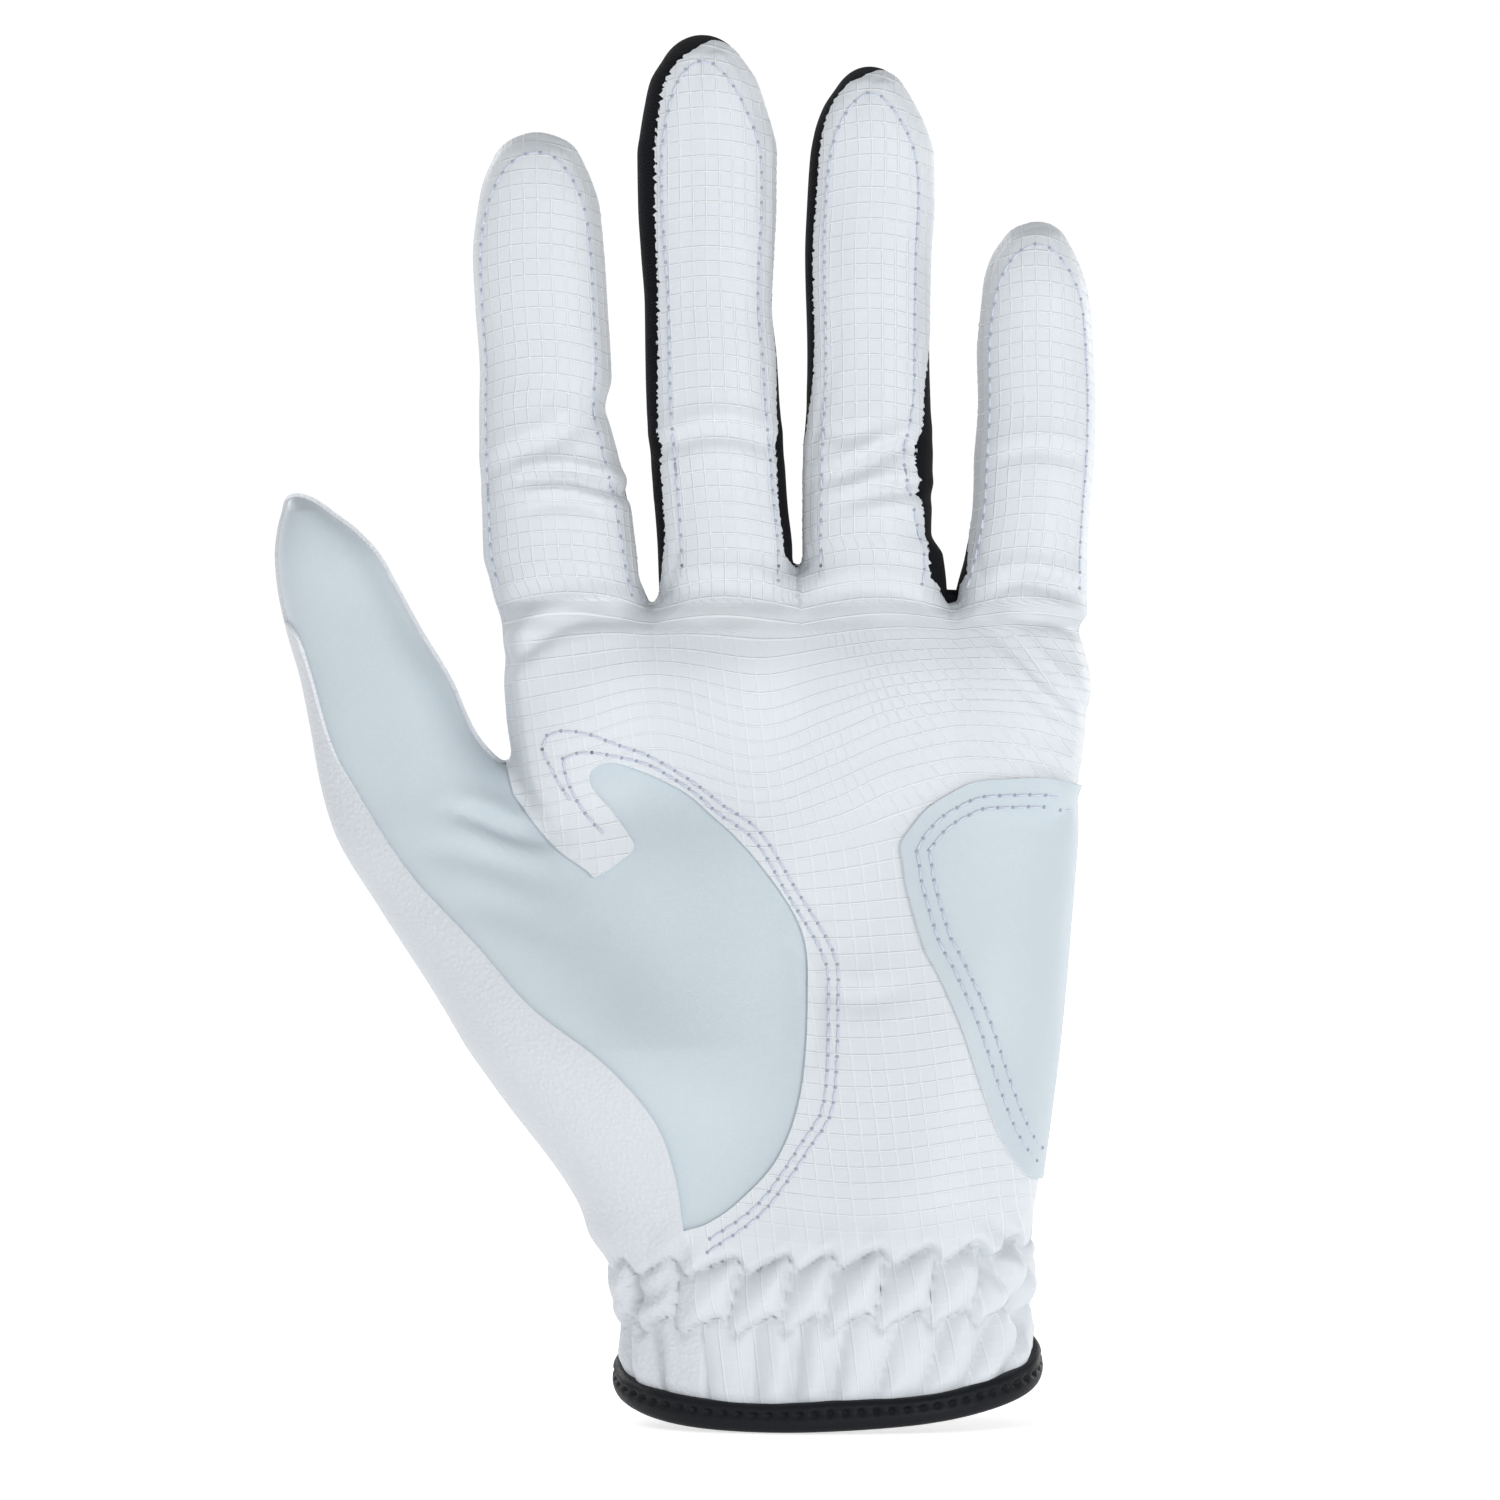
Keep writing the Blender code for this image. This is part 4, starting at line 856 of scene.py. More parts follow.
# ---- materials ----------------------------------------------------------------------------------
class Shader:
    """A node material under construction."""

    def __init__(self, name, roughness, specular=0.35):
        self.material = bpy.data.materials.new(name)
        self.material.use_nodes = True
        self.nodes = self.material.node_tree.nodes
        self.links = self.material.node_tree.links
        self.surface = self.nodes["Principled BSDF"]
        self.surface.inputs["Roughness"].default_value = roughness
        self.surface.inputs["Specular IOR Level"].default_value = specular
        self.rest = self.attribute("rest")
        self.bumps = []

    def attribute(self, name, output="Vector"):
        node = self.nodes.new("ShaderNodeAttribute")
        node.attribute_name = name
        return node.outputs[output]

    def set(self, socket, value):
        if hasattr(value, "is_output") and value.is_output:
            self.links.new(value, socket)
        else:
            socket.default_value = value

    def math(self, operation, a, b=0.0):
        node = self.nodes.new("ShaderNodeMath")
        node.operation = operation
        self.set(node.inputs[0], a)
        self.set(node.inputs[1], b)
        return node.outputs[0]

    def ramp(self, value, low, high, to_low=0.0, to_high=1.0):
        node = self.nodes.new("ShaderNodeMapRange")
        node.interpolation_type = "SMOOTHSTEP"
        for socket, given in zip(node.inputs, (value, low, high, to_low, to_high)):
            self.set(socket, given)
        return node.outputs[0]

    def split_vector(self, vector):
        node = self.nodes.new("ShaderNodeSeparateXYZ")
        self.links.new(vector, node.inputs[0])
        return node.outputs

    def noise(self, scale, detail=3.0, stretch=None):
        node = self.nodes.new("ShaderNodeTexNoise")
        node.inputs["Scale"].default_value = scale
        node.inputs["Detail"].default_value = detail
        self.links.new(self.stretched(stretch), node.inputs["Vector"])
        return node.outputs["Fac"]

    def cells(self, scale, feature="F1"):
        node = self.nodes.new("ShaderNodeTexVoronoi")
        node.feature = feature
        node.inputs["Scale"].default_value = scale
        self.links.new(self.rest, node.inputs["Vector"])
        return node.outputs["Distance"]

    def stretched(self, stretch):
        if stretch is None:
            return self.rest
        node = self.nodes.new("ShaderNodeVectorMath")
        node.operation = "MULTIPLY"
        self.links.new(self.rest, node.inputs[0])
        node.inputs[1].default_value = stretch
        return node.outputs[0]

    def bump(self, height, distance, strength=1.0):
        node = self.nodes.new("ShaderNodeBump")
        node.inputs["Distance"].default_value = distance * MM
        node.inputs["Strength"].default_value = strength
        self.links.new(height, node.inputs["Height"])
        if self.bumps:
            self.links.new(self.bumps[-1], node.inputs["Normal"])
        self.bumps.append(node.outputs[0])

    def finish(self, colour, roughness=None):
        self.links.new(colour, self.surface.inputs["Base Color"])
        if roughness is not None:
            self.links.new(roughness, self.surface.inputs["Roughness"])
        if self.bumps:
            self.links.new(self.bumps[-1], self.surface.inputs["Normal"])
        return self.material


def mix_colours(shader, mask, first, second):
    node = shader.nodes.new("ShaderNodeMix")
    node.data_type = "RGBA"
    factor = [s for s in node.inputs if s.type == "VALUE"][0]
    pair = [s for s in node.inputs if s.type == "RGBA"]
    shader.set(factor, mask)
    for socket, value in zip(pair, (first, second)):
        if isinstance(value, tuple):
            socket.default_value = (*value, 1.0)
        else:
            shader.links.new(value, socket)
    return [o for o in node.outputs if o.type == "RGBA"][0]


# pairs of linear colours that a material varies between, and a third: a painted highlight on the grid
# leather's raised lines, a lighter tone on the smooth leather's high grain, painted shade in the pebbled
# leather's valleys; the stretch knit's pair is painted shade and highlight of its weave
GRID_TONES_AND_LINE_HIGHLIGHT = ((0.561, 0.598, 0.636), (0.603, 0.636, 0.669), (0.729, 0.748, 0.767))
SMOOTH_TONES = ((0.432, 0.499, 0.541), (0.499, 0.560, 0.603), (0.537, 0.594, 0.632))
PEBBLE_TONES_AND_VALLEY_SHADE = ((0.544, 0.572, 0.609), (0.581, 0.605, 0.642), (0.484, 0.512, 0.558))
KNIT_TONE = (0.004, 0.0045, 0.006)
STRETCH_SHADE_AND_HIGHLIGHT = ((0.56, 0.585, 0.63), (0.70, 0.72, 0.755))
BINDING_TONES = ((0.003, 0.0035, 0.005), (0.008, 0.009, 0.012))
LINING_TONES = ((0.60, 0.60, 0.585), (0.74, 0.735, 0.715))
EDGE_TONES = ((0.66, 0.68, 0.72), (0.83, 0.84, 0.86))


def grid_leather():
    shader = Shader("embossed_white_leather", 0.48, 0.30)
    u, v, strength = shader.split_vector(shader.attribute("grid"))
    upright = shader.ramp(shader.math("PINGPONG", u, 0.5), 0.025, 0.10, 1.0, 0.0)
    level = shader.ramp(shader.math("PINGPONG", v, 0.5), 0.02, 0.085, 1.0, 0.0)
    patchy = shader.ramp(shader.noise(0.10, 2.0), 0.35, 0.6, 0.35, 1.0)
    upright = shader.math("MULTIPLY", shader.math("MULTIPLY", upright, strength), patchy)
    cuff = shader.ramp(shader.split_vector(shader.rest)[2], 29.0, 38.0, 0.15, 0.95)
    lines = shader.math("MAXIMUM", upright, shader.math("MULTIPLY", level, cuff))
    grain = shader.noise(3.2, 3.0)
    shader.bump(lines, 0.15, 0.8)
    shader.bump(grain, 0.05, 0.55)
    tone = mix_colours(shader, shader.noise(0.06, 2.0), *GRID_TONES_AND_LINE_HIGHLIGHT[:2])
    # the raised lines are painted lighter: a painted highlight along their ridges
    tone = mix_colours(shader, shader.math("MULTIPLY", lines, 0.55), tone, GRID_TONES_AND_LINE_HIGHLIGHT[2])
    return shader.finish(tone, shader.ramp(grain, 0.2, 0.8, 0.42, 0.56))


def smooth_leather():
    shader = Shader("smooth_blue_grey_leather", 0.42, 0.35)
    grain = shader.noise(2.1, 4.0, (1.0, 1.0, 2.4))
    pores = shader.cells(2.6, "DISTANCE_TO_EDGE")
    shader.bump(grain, 0.05, 0.6)
    shader.bump(shader.ramp(pores, 0.0, 0.12), 0.02, 0.5)
    tone = mix_colours(shader, shader.noise(0.035, 3.0), *SMOOTH_TONES[:2])
    tone = mix_colours(shader, shader.ramp(grain, 0.45, 0.75, 0.0, 0.35), tone, SMOOTH_TONES[2])
    return shader.finish(tone, shader.ramp(grain, 0.2, 0.8, 0.36, 0.50))


def pebble_leather():
    shader = Shader("pebbled_white_leather", 0.5, 0.30)
    pebbles = shader.cells(1.35)
    shader.bump(shader.ramp(pebbles, 0.1, 0.75, 1.0, 0.0), 0.11, 0.75)
    grain = shader.noise(4.0, 2.0)
    shader.bump(grain, 0.03, 0.5)
    tone = mix_colours(shader, shader.noise(0.05, 2.0), *PEBBLE_TONES_AND_VALLEY_SHADE[:2])
    # darker towards the valleys between the pebbles: painted shade
    tone = mix_colours(shader, shader.ramp(pebbles, 0.3, 0.9, 0.0, 0.3), tone, PEBBLE_TONES_AND_VALLEY_SHADE[2])
    return shader.finish(tone, shader.ramp(grain, 0.2, 0.8, 0.44, 0.58))


def weave(shader, across_scale, up_scale):
    x, y, z = shader.split_vector(shader.rest)
    across = shader.math("SINE", shader.math("MULTIPLY", shader.math("ADD", x, y), across_scale))
    up = shader.math("SINE", shader.math("MULTIPLY", z, up_scale))
    return shader.ramp(shader.math("MULTIPLY", across, up), -1.0, 1.0)


def black_knit():
    shader = Shader("black_stretch_knit", 0.88, 0.10)
    knit = weave(shader, 9.0, 11.0)
    shader.bump(knit, 0.10, 0.8)
    shader.surface.inputs["Sheen Weight"].default_value = 0.02
    shader.surface.inputs["Sheen Roughness"].default_value = 0.5
    light = tuple(c * 2.6 for c in KNIT_TONE)
    # lighter on the raised parts of the weave, broken up by noise: a painted highlight on the knit's loops
    colour = mix_colours(shader, shader.math("MULTIPLY", knit, shader.noise(0.8, 2.0)), KNIT_TONE, light)
    return shader.finish(colour)


def white_knit():
    shader = Shader("white_stretch_knit", 0.78, 0.25)
    knit = weave(shader, 5.5, 7.5)
    shader.bump(knit, 0.16, 0.8)
    # darker in the weave's low parts and lighter on its raised parts: painted shade and highlight
    return shader.finish(mix_colours(shader, knit, *STRETCH_SHADE_AND_HIGHLIGHT))


def black_binding():
    shader = Shader("black_binding_tape", 0.5, 0.16)
    grain = shader.noise(3.0, 3.0)
    shader.bump(grain, 0.06, 0.6)
    shader.bump(weave(shader, 13.0, 14.0), 0.03, 0.5)
    colour = mix_colours(shader, grain, *BINDING_TONES)
    return shader.finish(colour, shader.ramp(grain, 0.3, 0.7, 0.40, 0.58))


def lining():
    shader = Shader("leather_flesh_side", 0.85, 0.2)
    fuzz = shader.noise(2.4, 4.0)
    shader.bump(fuzz, 0.12, 0.7)
    return shader.finish(mix_colours(shader, fuzz, *LINING_TONES))


def raw_edge():
    shader = Shader("cut_leather_edge", 0.9, 0.15)
    fuzz = shader.noise(5.0, 3.0)
    shader.bump(fuzz, 0.2, 0.8)
    return shader.finish(mix_colours(shader, fuzz, *EDGE_TONES))


def thread(name, tone, dark):
    shader = Shader(name, 0.55, 0.35)
    twist = shader.noise(4.5, 2.0, (1.0, 1.0, 0.6))
    shader.bump(twist, 0.06, 0.7)
    return shader.finish(mix_colours(shader, twist, dark, tone))


def hook_and_loop(name, low, high, scale):
    shader = Shader(name, 0.9, 0.2)
    tufts = shader.cells(scale)
    shader.bump(shader.ramp(tufts, 0.1, 0.8, 1.0, 0.0), 0.35, 1.0)
    shader.surface.inputs["Sheen Weight"].default_value = 0.3
    # lighter on the raised tufts and darker between them: painted highlight and painted shade
    return shader.finish(mix_colours(shader, shader.ramp(tufts, 0.1, 0.8), high, low))


GRID = grid_leather()
SMOOTH = smooth_leather()
PEBBLE = pebble_leather()
KNIT = black_knit()
STRETCH = white_knit()
BINDING = black_binding()
LINING = lining()
EDGE = raw_edge()
THREAD = thread("pale_sewing_thread", (0.58, 0.62, 0.70), (0.46, 0.50, 0.60))
# dark dots at the stitch ends: painted shade of the needle holes
HOLE_SHADE = thread("needle_hole_shade", (0.36, 0.39, 0.49), (0.27, 0.30, 0.38))
# each tape's pair of colours: painted shade between its tufts and a painted highlight on them
LOOP = hook_and_loop("loop_tape", (0.010, 0.011, 0.013), (0.035, 0.037, 0.042), 2.2)
HOOK = hook_and_loop("hook_tape", (0.008, 0.009, 0.011), (0.030, 0.032, 0.036), 1.5)


# ---- the full skin ------------------------------------------------------------------------------
def vertex_normals(points, faces):
    a, b, c = points[faces[:, 0]], points[faces[:, 1]], points[faces[:, 2]]
    flat = np.cross(b - a, c - a)
    total = np.zeros_like(points)
    for k in range(3):
        for axis in range(3):
            total[:, axis] += np.bincount(faces[:, k], flat[:, axis], len(points))
    return total / np.maximum(np.linalg.norm(total, axis=1), 1e-12)[:, None]


rest, faces = mesh_body()
for seam in (hem_field, front_field, back_field, thumb_domain, thumb_leather, heel_field, tongue_field,
             slit_field, lambda p: insert_field(p, 0), lambda p: insert_field(p, 1),
             lambda p: along_limb(p, 0), lambda p: along_limb(p, 1)):
    rest, faces = split(rest, faces, seam)
outward = body_gradient(rest)
outward /= np.linalg.norm(outward, axis=1)[:, None]
skin = rest + outward * relief(rest, outward)[:, None]
skin_normals = vertex_normals(skin, faces)
pattern = grid_pattern(rest)
SKIN_TREE = BVHTree.FromPolygons([tuple(p) for p in skin], [tuple(int(i) for i in f) for f in faces])

centre = rest[faces].mean(axis=1)
cx, _, cz = centre.T
number = limb_number(cx, cz)
zone = (along_limb(centre, 0) > 0).astype(int) + (along_limb(centre, 1) > 0)
above_hem = hem_field(centre) > 0
hand = (zone == 0) & above_hem
layer = np.where(front_field(centre) < 0, 0, np.where(back_field(centre) > 0, 2, 1))
in_thumb = thumb_domain(centre) < 0
leather = thumb_leather(centre) < 0
in_heel = hand & (heel_field(centre) < 0) & (layer == 0) & ~in_thumb & (cx > 0)
near_crotch = (cx < -30.8) & (cz > 85)
in_tongue = hand & (layer == 0) & ~in_thumb & (tongue_field(centre) < 0) & near_crotch & ~in_heel
in_slit = hand & (slit_field(centre) < 0) & (layer == 2)
back_zone = hand & (layer == 2) & ~in_thumb & ~in_slit
insert_low = insert_field(centre, 0)
insert_high = insert_field(centre, 1)
web_zone = hand & (layer == 1) & ~in_thumb


# ---- stitches -----------------------------------------------------------------------------------
def capsule(length, radius):
    """Points and triangles of a small rounded bar along x."""
    rings = [(-0.5, 0.30), (-0.42, 0.75), (-0.2, 1.0), (0.2, 1.0), (0.42, 0.75), (0.5, 0.30)]
    sides = 6
    points = []
    for place, size in rings:
        for k in range(sides):
            turn = k * math.tau / sides
            points.append((place * length, radius * size * math.cos(turn), radius * size * math.sin(turn)))
    points += [(-0.52 * length, 0.0, 0.0), (0.52 * length, 0.0, 0.0)]
    faces = []
    for ring in range(len(rings) - 1):
        for k in range(sides):
            a, b = ring * sides + k, ring * sides + (k + 1) % sides
            faces += [(a, b, b + sides), (a, b + sides, a + sides)]
    last = (len(rings) - 1) * sides
    for k in range(sides):
        faces.append((len(points) - 2, (k + 1) % sides, k))
        faces.append((len(points) - 1, last + k, last + (k + 1) % sides))
    return np.array(points), np.array(faces)


# a stitch's thread, and a dark dot at its end: painted shade standing in for the needle hole
BAR = capsule(1.55, 0.21)
HOLE_SHADE_DOT = capsule(0.50, 0.27)
# material slots of a panel
OUTER_SIDE, INNER_SIDE, THREAD_SLOT, HOLE_SHADE_SLOT, EDGE_SLOT = range(5)


def even_points(line, pitch):
    line = np.asarray(line, float)
    steps = np.linalg.norm(np.diff(line, axis=0), axis=1)
    along = np.concatenate([[0.0], np.cumsum(steps)])
    count = max(2, int(round(along[-1] / pitch)) + 1)
    places = np.linspace(0.0, along[-1], count)
    return np.stack([np.interp(places, along, line[:, k]) for k in range(line.shape[1])], axis=1)


RAY_START = 60.0
HOLE_SHADE_DEPTH = 0.05


def cast(point, direction):
    """The skin's point and normal that a ray meets first."""
    hit, normal, _, _ = SKIN_TREE.ray_cast(Vector(point), Vector(direction))
    return (None, None) if hit is None else (np.array(hit), np.array(normal))


def cast_row(line, side, lift):
    """Points and normals of an (x, z) line laid on the skin from the palm side (-1) or the back (+1)."""
    found = []
    for x, z in line:
        hit, normal = cast((x, side * RAY_START, z), (0.0, -side, 0.0))
        found.append(None if hit is None else (hit + normal * lift, normal))
    return found


def stamp(shape, spot, along, normal):
    side = np.cross(normal, along)
    side /= np.linalg.norm(side) + 1e-9
    along = np.cross(side, normal)
    return spot + shape[0] @ np.stack([along, side, normal])


class Stitches:
    """Sewing gathered by where it lies, so that it goes with the piece under it."""

    def __init__(self):
        self.bars = []

    def row(self, found):
        """A stitch between each point and the next, unless the surface jumps there."""
        for first, second in zip(found[:-1], found[1:]):
            if first is None or second is None or np.linalg.norm(second[0] - first[0]) > 2.2 * STITCH_PITCH:
                continue
            along = second[0] - first[0]
            normal = first[1] + second[1]
            normal = normal / np.linalg.norm(normal)
            self.bars.append(((first[0] + second[0]) / 2.0, along, normal, False))
            # a dark dot sunk a little into the skin at the stitch's end: painted shade of the needle hole
            self.bars.append((second[0] - normal * HOLE_SHADE_DEPTH, along, normal, True))

    def geometry(self, chosen):
        """Vertices, triangles and material slots of the chosen stitches."""
        points, triangles, kinds = [], [], []
        count = 0
        for spot, along, normal, is_shade_dot in chosen:
            shape = HOLE_SHADE_DOT if is_shade_dot else BAR
            points.append(stamp(shape, spot, along / np.linalg.norm(along), normal))
            triangles.append(shape[1] + count)
            kinds.append(np.full(len(shape[1]), HOLE_SHADE_SLOT if is_shade_dot else THREAD_SLOT))
            count += len(shape[0])
        if not points:
            return np.zeros((0, 3)), np.zeros((0, 3), int), np.zeros(0, int)
        return np.concatenate(points), np.concatenate(triangles), np.concatenate(kinds)


def offset_line(line, distance):
    """A parallel line, distance to the left of its direction."""
    line = np.asarray(line, float)
    run = np.gradient(line, axis=0)
    run /= np.linalg.norm(run, axis=1)[:, None] + 1e-9
    return line + distance * np.stack([-run[:, 1], run[:, 0]], axis=1)


def finger_outline(name, low):
    """The finger's outline up its left edge, round the tip and down its right edge."""
    limb, end = LIMBS[name], LIMB_ENDS[name]
    heights = np.linspace(low, end["start"], 60)
    left, right = edges_at(heights, limb["edges"])
    t = np.sin(np.linspace(0, math.pi / 2, 30))[1:]
    round_tip = end["begin"] + (1.0 - end["begin"]) * t
    half = (right[-1] - left[-1]) / 2.0 * end["grow"] * np.sqrt(1.0 - round_tip ** 2)
    middle = end["middle"] + limb_shift(t, name)
    dome_z = end["start"] + t * end["length"]
    up = list(zip(left, heights)) + list(zip(middle - half, dome_z))
    down = list(zip(middle + half, dome_z))[::-1] + list(zip(right, heights))[::-1]
    return np.array(up + down[1:])

# inset of the stitch row from the outline: thumb side, tip, little side; and its lowest height
FINGER_ROWS = {
    "index": (1.3, 3.4, 2.2, 132.5), "middle": (4.2, 4.4, 2.6, 134.0),
    "ring": (3.2, 4.2, 2.8, 134.0), "little": (2.0, 3.4, 1.5, 133.0),
}
BACK_ROWS = {
    "index": (1.4, 3.0, 3.2, 133.0), "middle": (3.4, 4.2, 3.4, 135.0),
    "ring": (3.4, 4.2, 3.4, 135.0), "little": (3.2, 3.0, 1.4, 133.0),
}
# where the ring finger's row swings in round the curled edge: inset, height, half its length
RING_SWINGS = ((2.6, 153.5, 6), (1.8, 134, 3))
ROW_ROUNDING = 10


def finger_row(name, table):
    """The stitch row up one side of a finger, round its tip and down the other side."""
    left, tip, right, low = table[name]
    outline = finger_outline(name, low)
    steps = np.concatenate([[0], np.cumsum(np.linalg.norm(np.diff(outline, axis=0), axis=1))])
    share = steps / steps[-1]
    inset = left + (tip - left) * smoothstep(0.36, 0.48, share)
    inset = inset + (right - tip) * smoothstep(0.52, 0.64, share)
    if name == "ring" and table is FINGER_ROWS:
        for swing, height, reach in RING_SWINGS:
            inset = inset + swing * np.exp(-((outline[:, 1] - height) / reach) ** 2) * (share > 0.5)
    line = offset_line(outline, -1.0)
    line = outline + (line - outline) * inset[:, None]
    keep = np.concatenate([[True], np.linalg.norm(np.diff(line, axis=0), axis=1) > 0.02])
    line = even_points(line[keep], 1.0)
    for _ in range(ROW_ROUNDING):
        line[1:-1] = (line[:-2] + 2.0 * line[1:-1] + line[2:]) / 4.0
    return line


OUTER_THENAR_ROW = [(-40.9, 98.9), (-42.6, 101.4), (-44.0, 104.0), (-45.6, 107.6), (-44.0, 110.0),
                    (-39.1, 109.9), (-33.7, 108.0), (-28.6, 106.2), (-21.7, 102.1), (-17.0, 98.4),
                    (-11.1, 94.2), (-5.7, 85.6), (0.4, 75.4), (1.2, 68.2), (0.4, 51.5), (-3.0, 45.1),
                    (-8.7, 36.8), (-12.7, 32.8), (-19.4, 28.3)]
INNER_THENAR_ROW = [(-35.6, 93.6), (-38.4, 96.6), (-40.7, 100.2), (-41.9, 103.4), (-42.4, 105.6),
                    (-40.8, 106.5), (-37.8, 106.8), (-33.2, 106.0), (-28.2, 104.6), (-21.6, 100.5),
                    (-17.6, 97.0), (-12.0, 92.9), (-6.9, 84.6), (-1.1, 74.6), (-0.3, 68.0), (-1.0, 52.0),
                    (-4.2, 45.9), (-9.6, 37.9), (-13.5, 34.0), (-19.0, 30.4)]
# how far the thread stands off the skin, on the heel patch and on the back
ROW_LIFT = 0.12
PATCH_LIFT = 0.88
BACK_LIFT = 0.1
HEEL_ROWS = (2.5, 4.4)
INSERT_ROWS = (-2.0, 2.0)
BACK_THUMB_ROW = 2.2
sewing = Stitches()


def sew(line, side, lift):
    sewing.row(cast_row(even_points(line, STITCH_PITCH), side, lift))


for name in FINGER_NAMES:
    sew(finger_row(name, FINGER_ROWS), -1, ROW_LIFT)
for row in (OUTER_THENAR_ROW, INNER_THENAR_ROW):
    sew(soft_line(row), -1, ROW_LIFT)
for inset in HEEL_ROWS:
    sew(offset_line(HEEL_LINE, inset), -1, PATCH_LIFT)
xs = np.arange(-49.0, 39.0, STITCH_PITCH)
for which, shift in enumerate(INSERT_ROWS):
    sewing.row(cast_row(zip(xs, insert_line(xs, which) + shift), 1, BACK_LIFT))
for name in FINGER_NAMES:
    sew(finger_row(name, BACK_ROWS), 1, ROW_LIFT)
heights = np.arange(32.0, 98.0, STITCH_PITCH)
sewing.row(cast_row(zip(curve(heights, BACK_THUMB_SEAM) + BACK_THUMB_ROW, heights), 1, BACK_LIFT))


# ---- pieces -------------------------------------------------------------------------------------
def make_mesh(name, points, triangles, kinds, normals=None, rest_points=None, grid=None):
    mesh = bpy.data.meshes.new(name)
    mesh.vertices.add(len(points))
    mesh.vertices.foreach_set("co", (np.asarray(points) * MM).astype(np.float32).ravel())
    mesh.loops.add(3 * len(triangles))
    mesh.loops.foreach_set("vertex_index", np.asarray(triangles, np.int32).ravel())
    mesh.polygons.add(len(triangles))
    mesh.polygons.foreach_set("loop_start", np.arange(0, 3 * len(triangles), 3, dtype=np.int32))
    mesh.polygons.foreach_set("material_index", np.asarray(kinds, np.int32))
    mesh.polygons.foreach_set("use_smooth", np.ones(len(triangles), bool))
    mesh.update(calc_edges=True)
    for label, values in (("rest", points if rest_points is None else rest_points), ("grid", grid)):
        if values is None:
            continue
        attribute = mesh.attributes.new(label, "FLOAT_VECTOR", "POINT")
        attribute.data.foreach_set("vector", np.asarray(values, np.float32).ravel())
    if normals is not None:
        mesh.normals_split_custom_set_from_vertices([tuple(n) for n in normals])
    return mesh


def add_object(name, mesh, materials):
    piece = bpy.data.objects.new(name, mesh)
    bpy.context.scene.collection.objects.link(piece)
    for material in materials:
        mesh.materials.append(material)
    return piece


SEWN_REACH = 0.45


def panel(name, mask, material, lift, thick, edge):
    """One sewn panel: the chosen faces, lifted off the shared skin, with its own thickness.

    The stitches that lie on it are part of its mesh.
    """
    chosen = faces[mask]
    used, local = np.unique(chosen, return_inverse=True)
    local = local.reshape(-1, 3)
    count = len(used)
    outer = skin[used] + outward[used] * lift
    inner = skin[used] + outward[used] * (lift - thick)
    sides = np.concatenate([local[:, [0, 1]], local[:, [1, 2]], local[:, [2, 0]]])
    keys = np.sort(sides, axis=1) @ np.array([count, 1])
    _, first, times = np.unique(keys, return_index=True, return_counts=True)
    border = sides[first[times == 1]]
    ring, place = np.unique(border, return_inverse=True)
    place = place.reshape(-1, 2)
    ra = 2 * count + place
    rb = ra + len(ring)
    rim = np.concatenate([np.stack([ra[:, 1], ra[:, 0], rb[:, 0]], 1),
                          np.stack([ra[:, 1], rb[:, 0], rb[:, 1]], 1)])
    low, high = outer.min(axis=0) - 1.0, outer.max(axis=0) + 1.0
    points = np.concatenate([outer, inner, outer[ring], inner[ring]])
    triangles = np.concatenate([local, local[:, ::-1] + count, rim])
    kinds = np.repeat([OUTER_SIDE, INNER_SIDE, EDGE_SLOT], [len(local), len(local), len(rim)])
    normals = np.concatenate([skin_normals[used], -skin_normals[used], np.zeros((2 * len(ring), 3))])
    where = np.concatenate([used, used, used[ring], used[ring]])
    tree = BVHTree.FromPolygons([tuple(p) for p in outer], [tuple(int(i) for i in f) for f in local])
    mine = []
    for bar in sewing.bars:
        if (bar[0] < low).any() or (bar[0] > high).any():
            continue
        near = tree.find_nearest(Vector(bar[0]))
        if near[0] is not None and near[3] < SEWN_REACH and np.dot(near[1], bar[2]) > 0:
            mine.append(bar)
    extra, extra_faces, extra_kinds = sewing.geometry(mine)
    rest_points = np.concatenate([rest[where], extra])
    grid = np.concatenate([pattern[where], np.full((len(extra), 3), 0.5)])
    triangles = np.concatenate([triangles, extra_faces + len(points)])
    kinds = np.concatenate([kinds, extra_kinds])
    normals = np.concatenate([normals, np.zeros((len(extra), 3))])
    points = np.concatenate([points, extra])
    mesh = make_mesh(name, points, triangles, kinds, normals, rest_points, grid)
    return add_object(name, mesh, [material, LINING, THREAD, HOLE_SHADE, edge])


# how far each sheet's outside stands off the shared skin, and its thickness
LEATHER_LIFT = 0.05
LEATHER_THICK = 0.8
PATCH_RAISE = 0.75
PATCH_EXTRA = 0.7
THENAR_LIFT = -0.6
KNIT_LIFT = -0.25
INSERT_LIFT = -0.5
GUSSET_LIFT = -1.5
KNIT_THICK = 0.6
BEND_PAST_MIDDLE = 11.0


# a sheet: material, slot, lift, thickness and the material of its cut edge
GRID_SHEET = (GRID, "grid_leather", LEATHER_LIFT, LEATHER_THICK, EDGE)
PEBBLE_SHEET = (PEBBLE, "pebble_leather", LEATHER_LIFT, LEATHER_THICK, EDGE)
PATCH_SHEET = (SMOOTH, "smooth_leather", LEATHER_LIFT + PATCH_RAISE, LEATHER_THICK + PATCH_EXTRA, EDGE)
THENAR_SHEET = (SMOOTH, "smooth_leather", THENAR_LIFT, LEATHER_THICK, EDGE)
KNIT_SHEET = (KNIT, "black_stretch", KNIT_LIFT, KNIT_THICK, KNIT)
GUSSET_SHEET = (KNIT, "black_stretch", GUSSET_LIFT, KNIT_THICK, KNIT)
INSERT_SHEET = (STRETCH, "white_stretch", INSERT_LIFT, KNIT_THICK, STRETCH)


def sheet_piece(node, mask, sheet):
    material, slot, lift, thick, edge = sheet
    piece = panel(node + "_skin", mask, material, lift, thick, edge)
    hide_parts(node)
    return piece


def hand_panel(node, mask, sheet):
    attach(sheet_piece(node, mask, sheet), "hand")


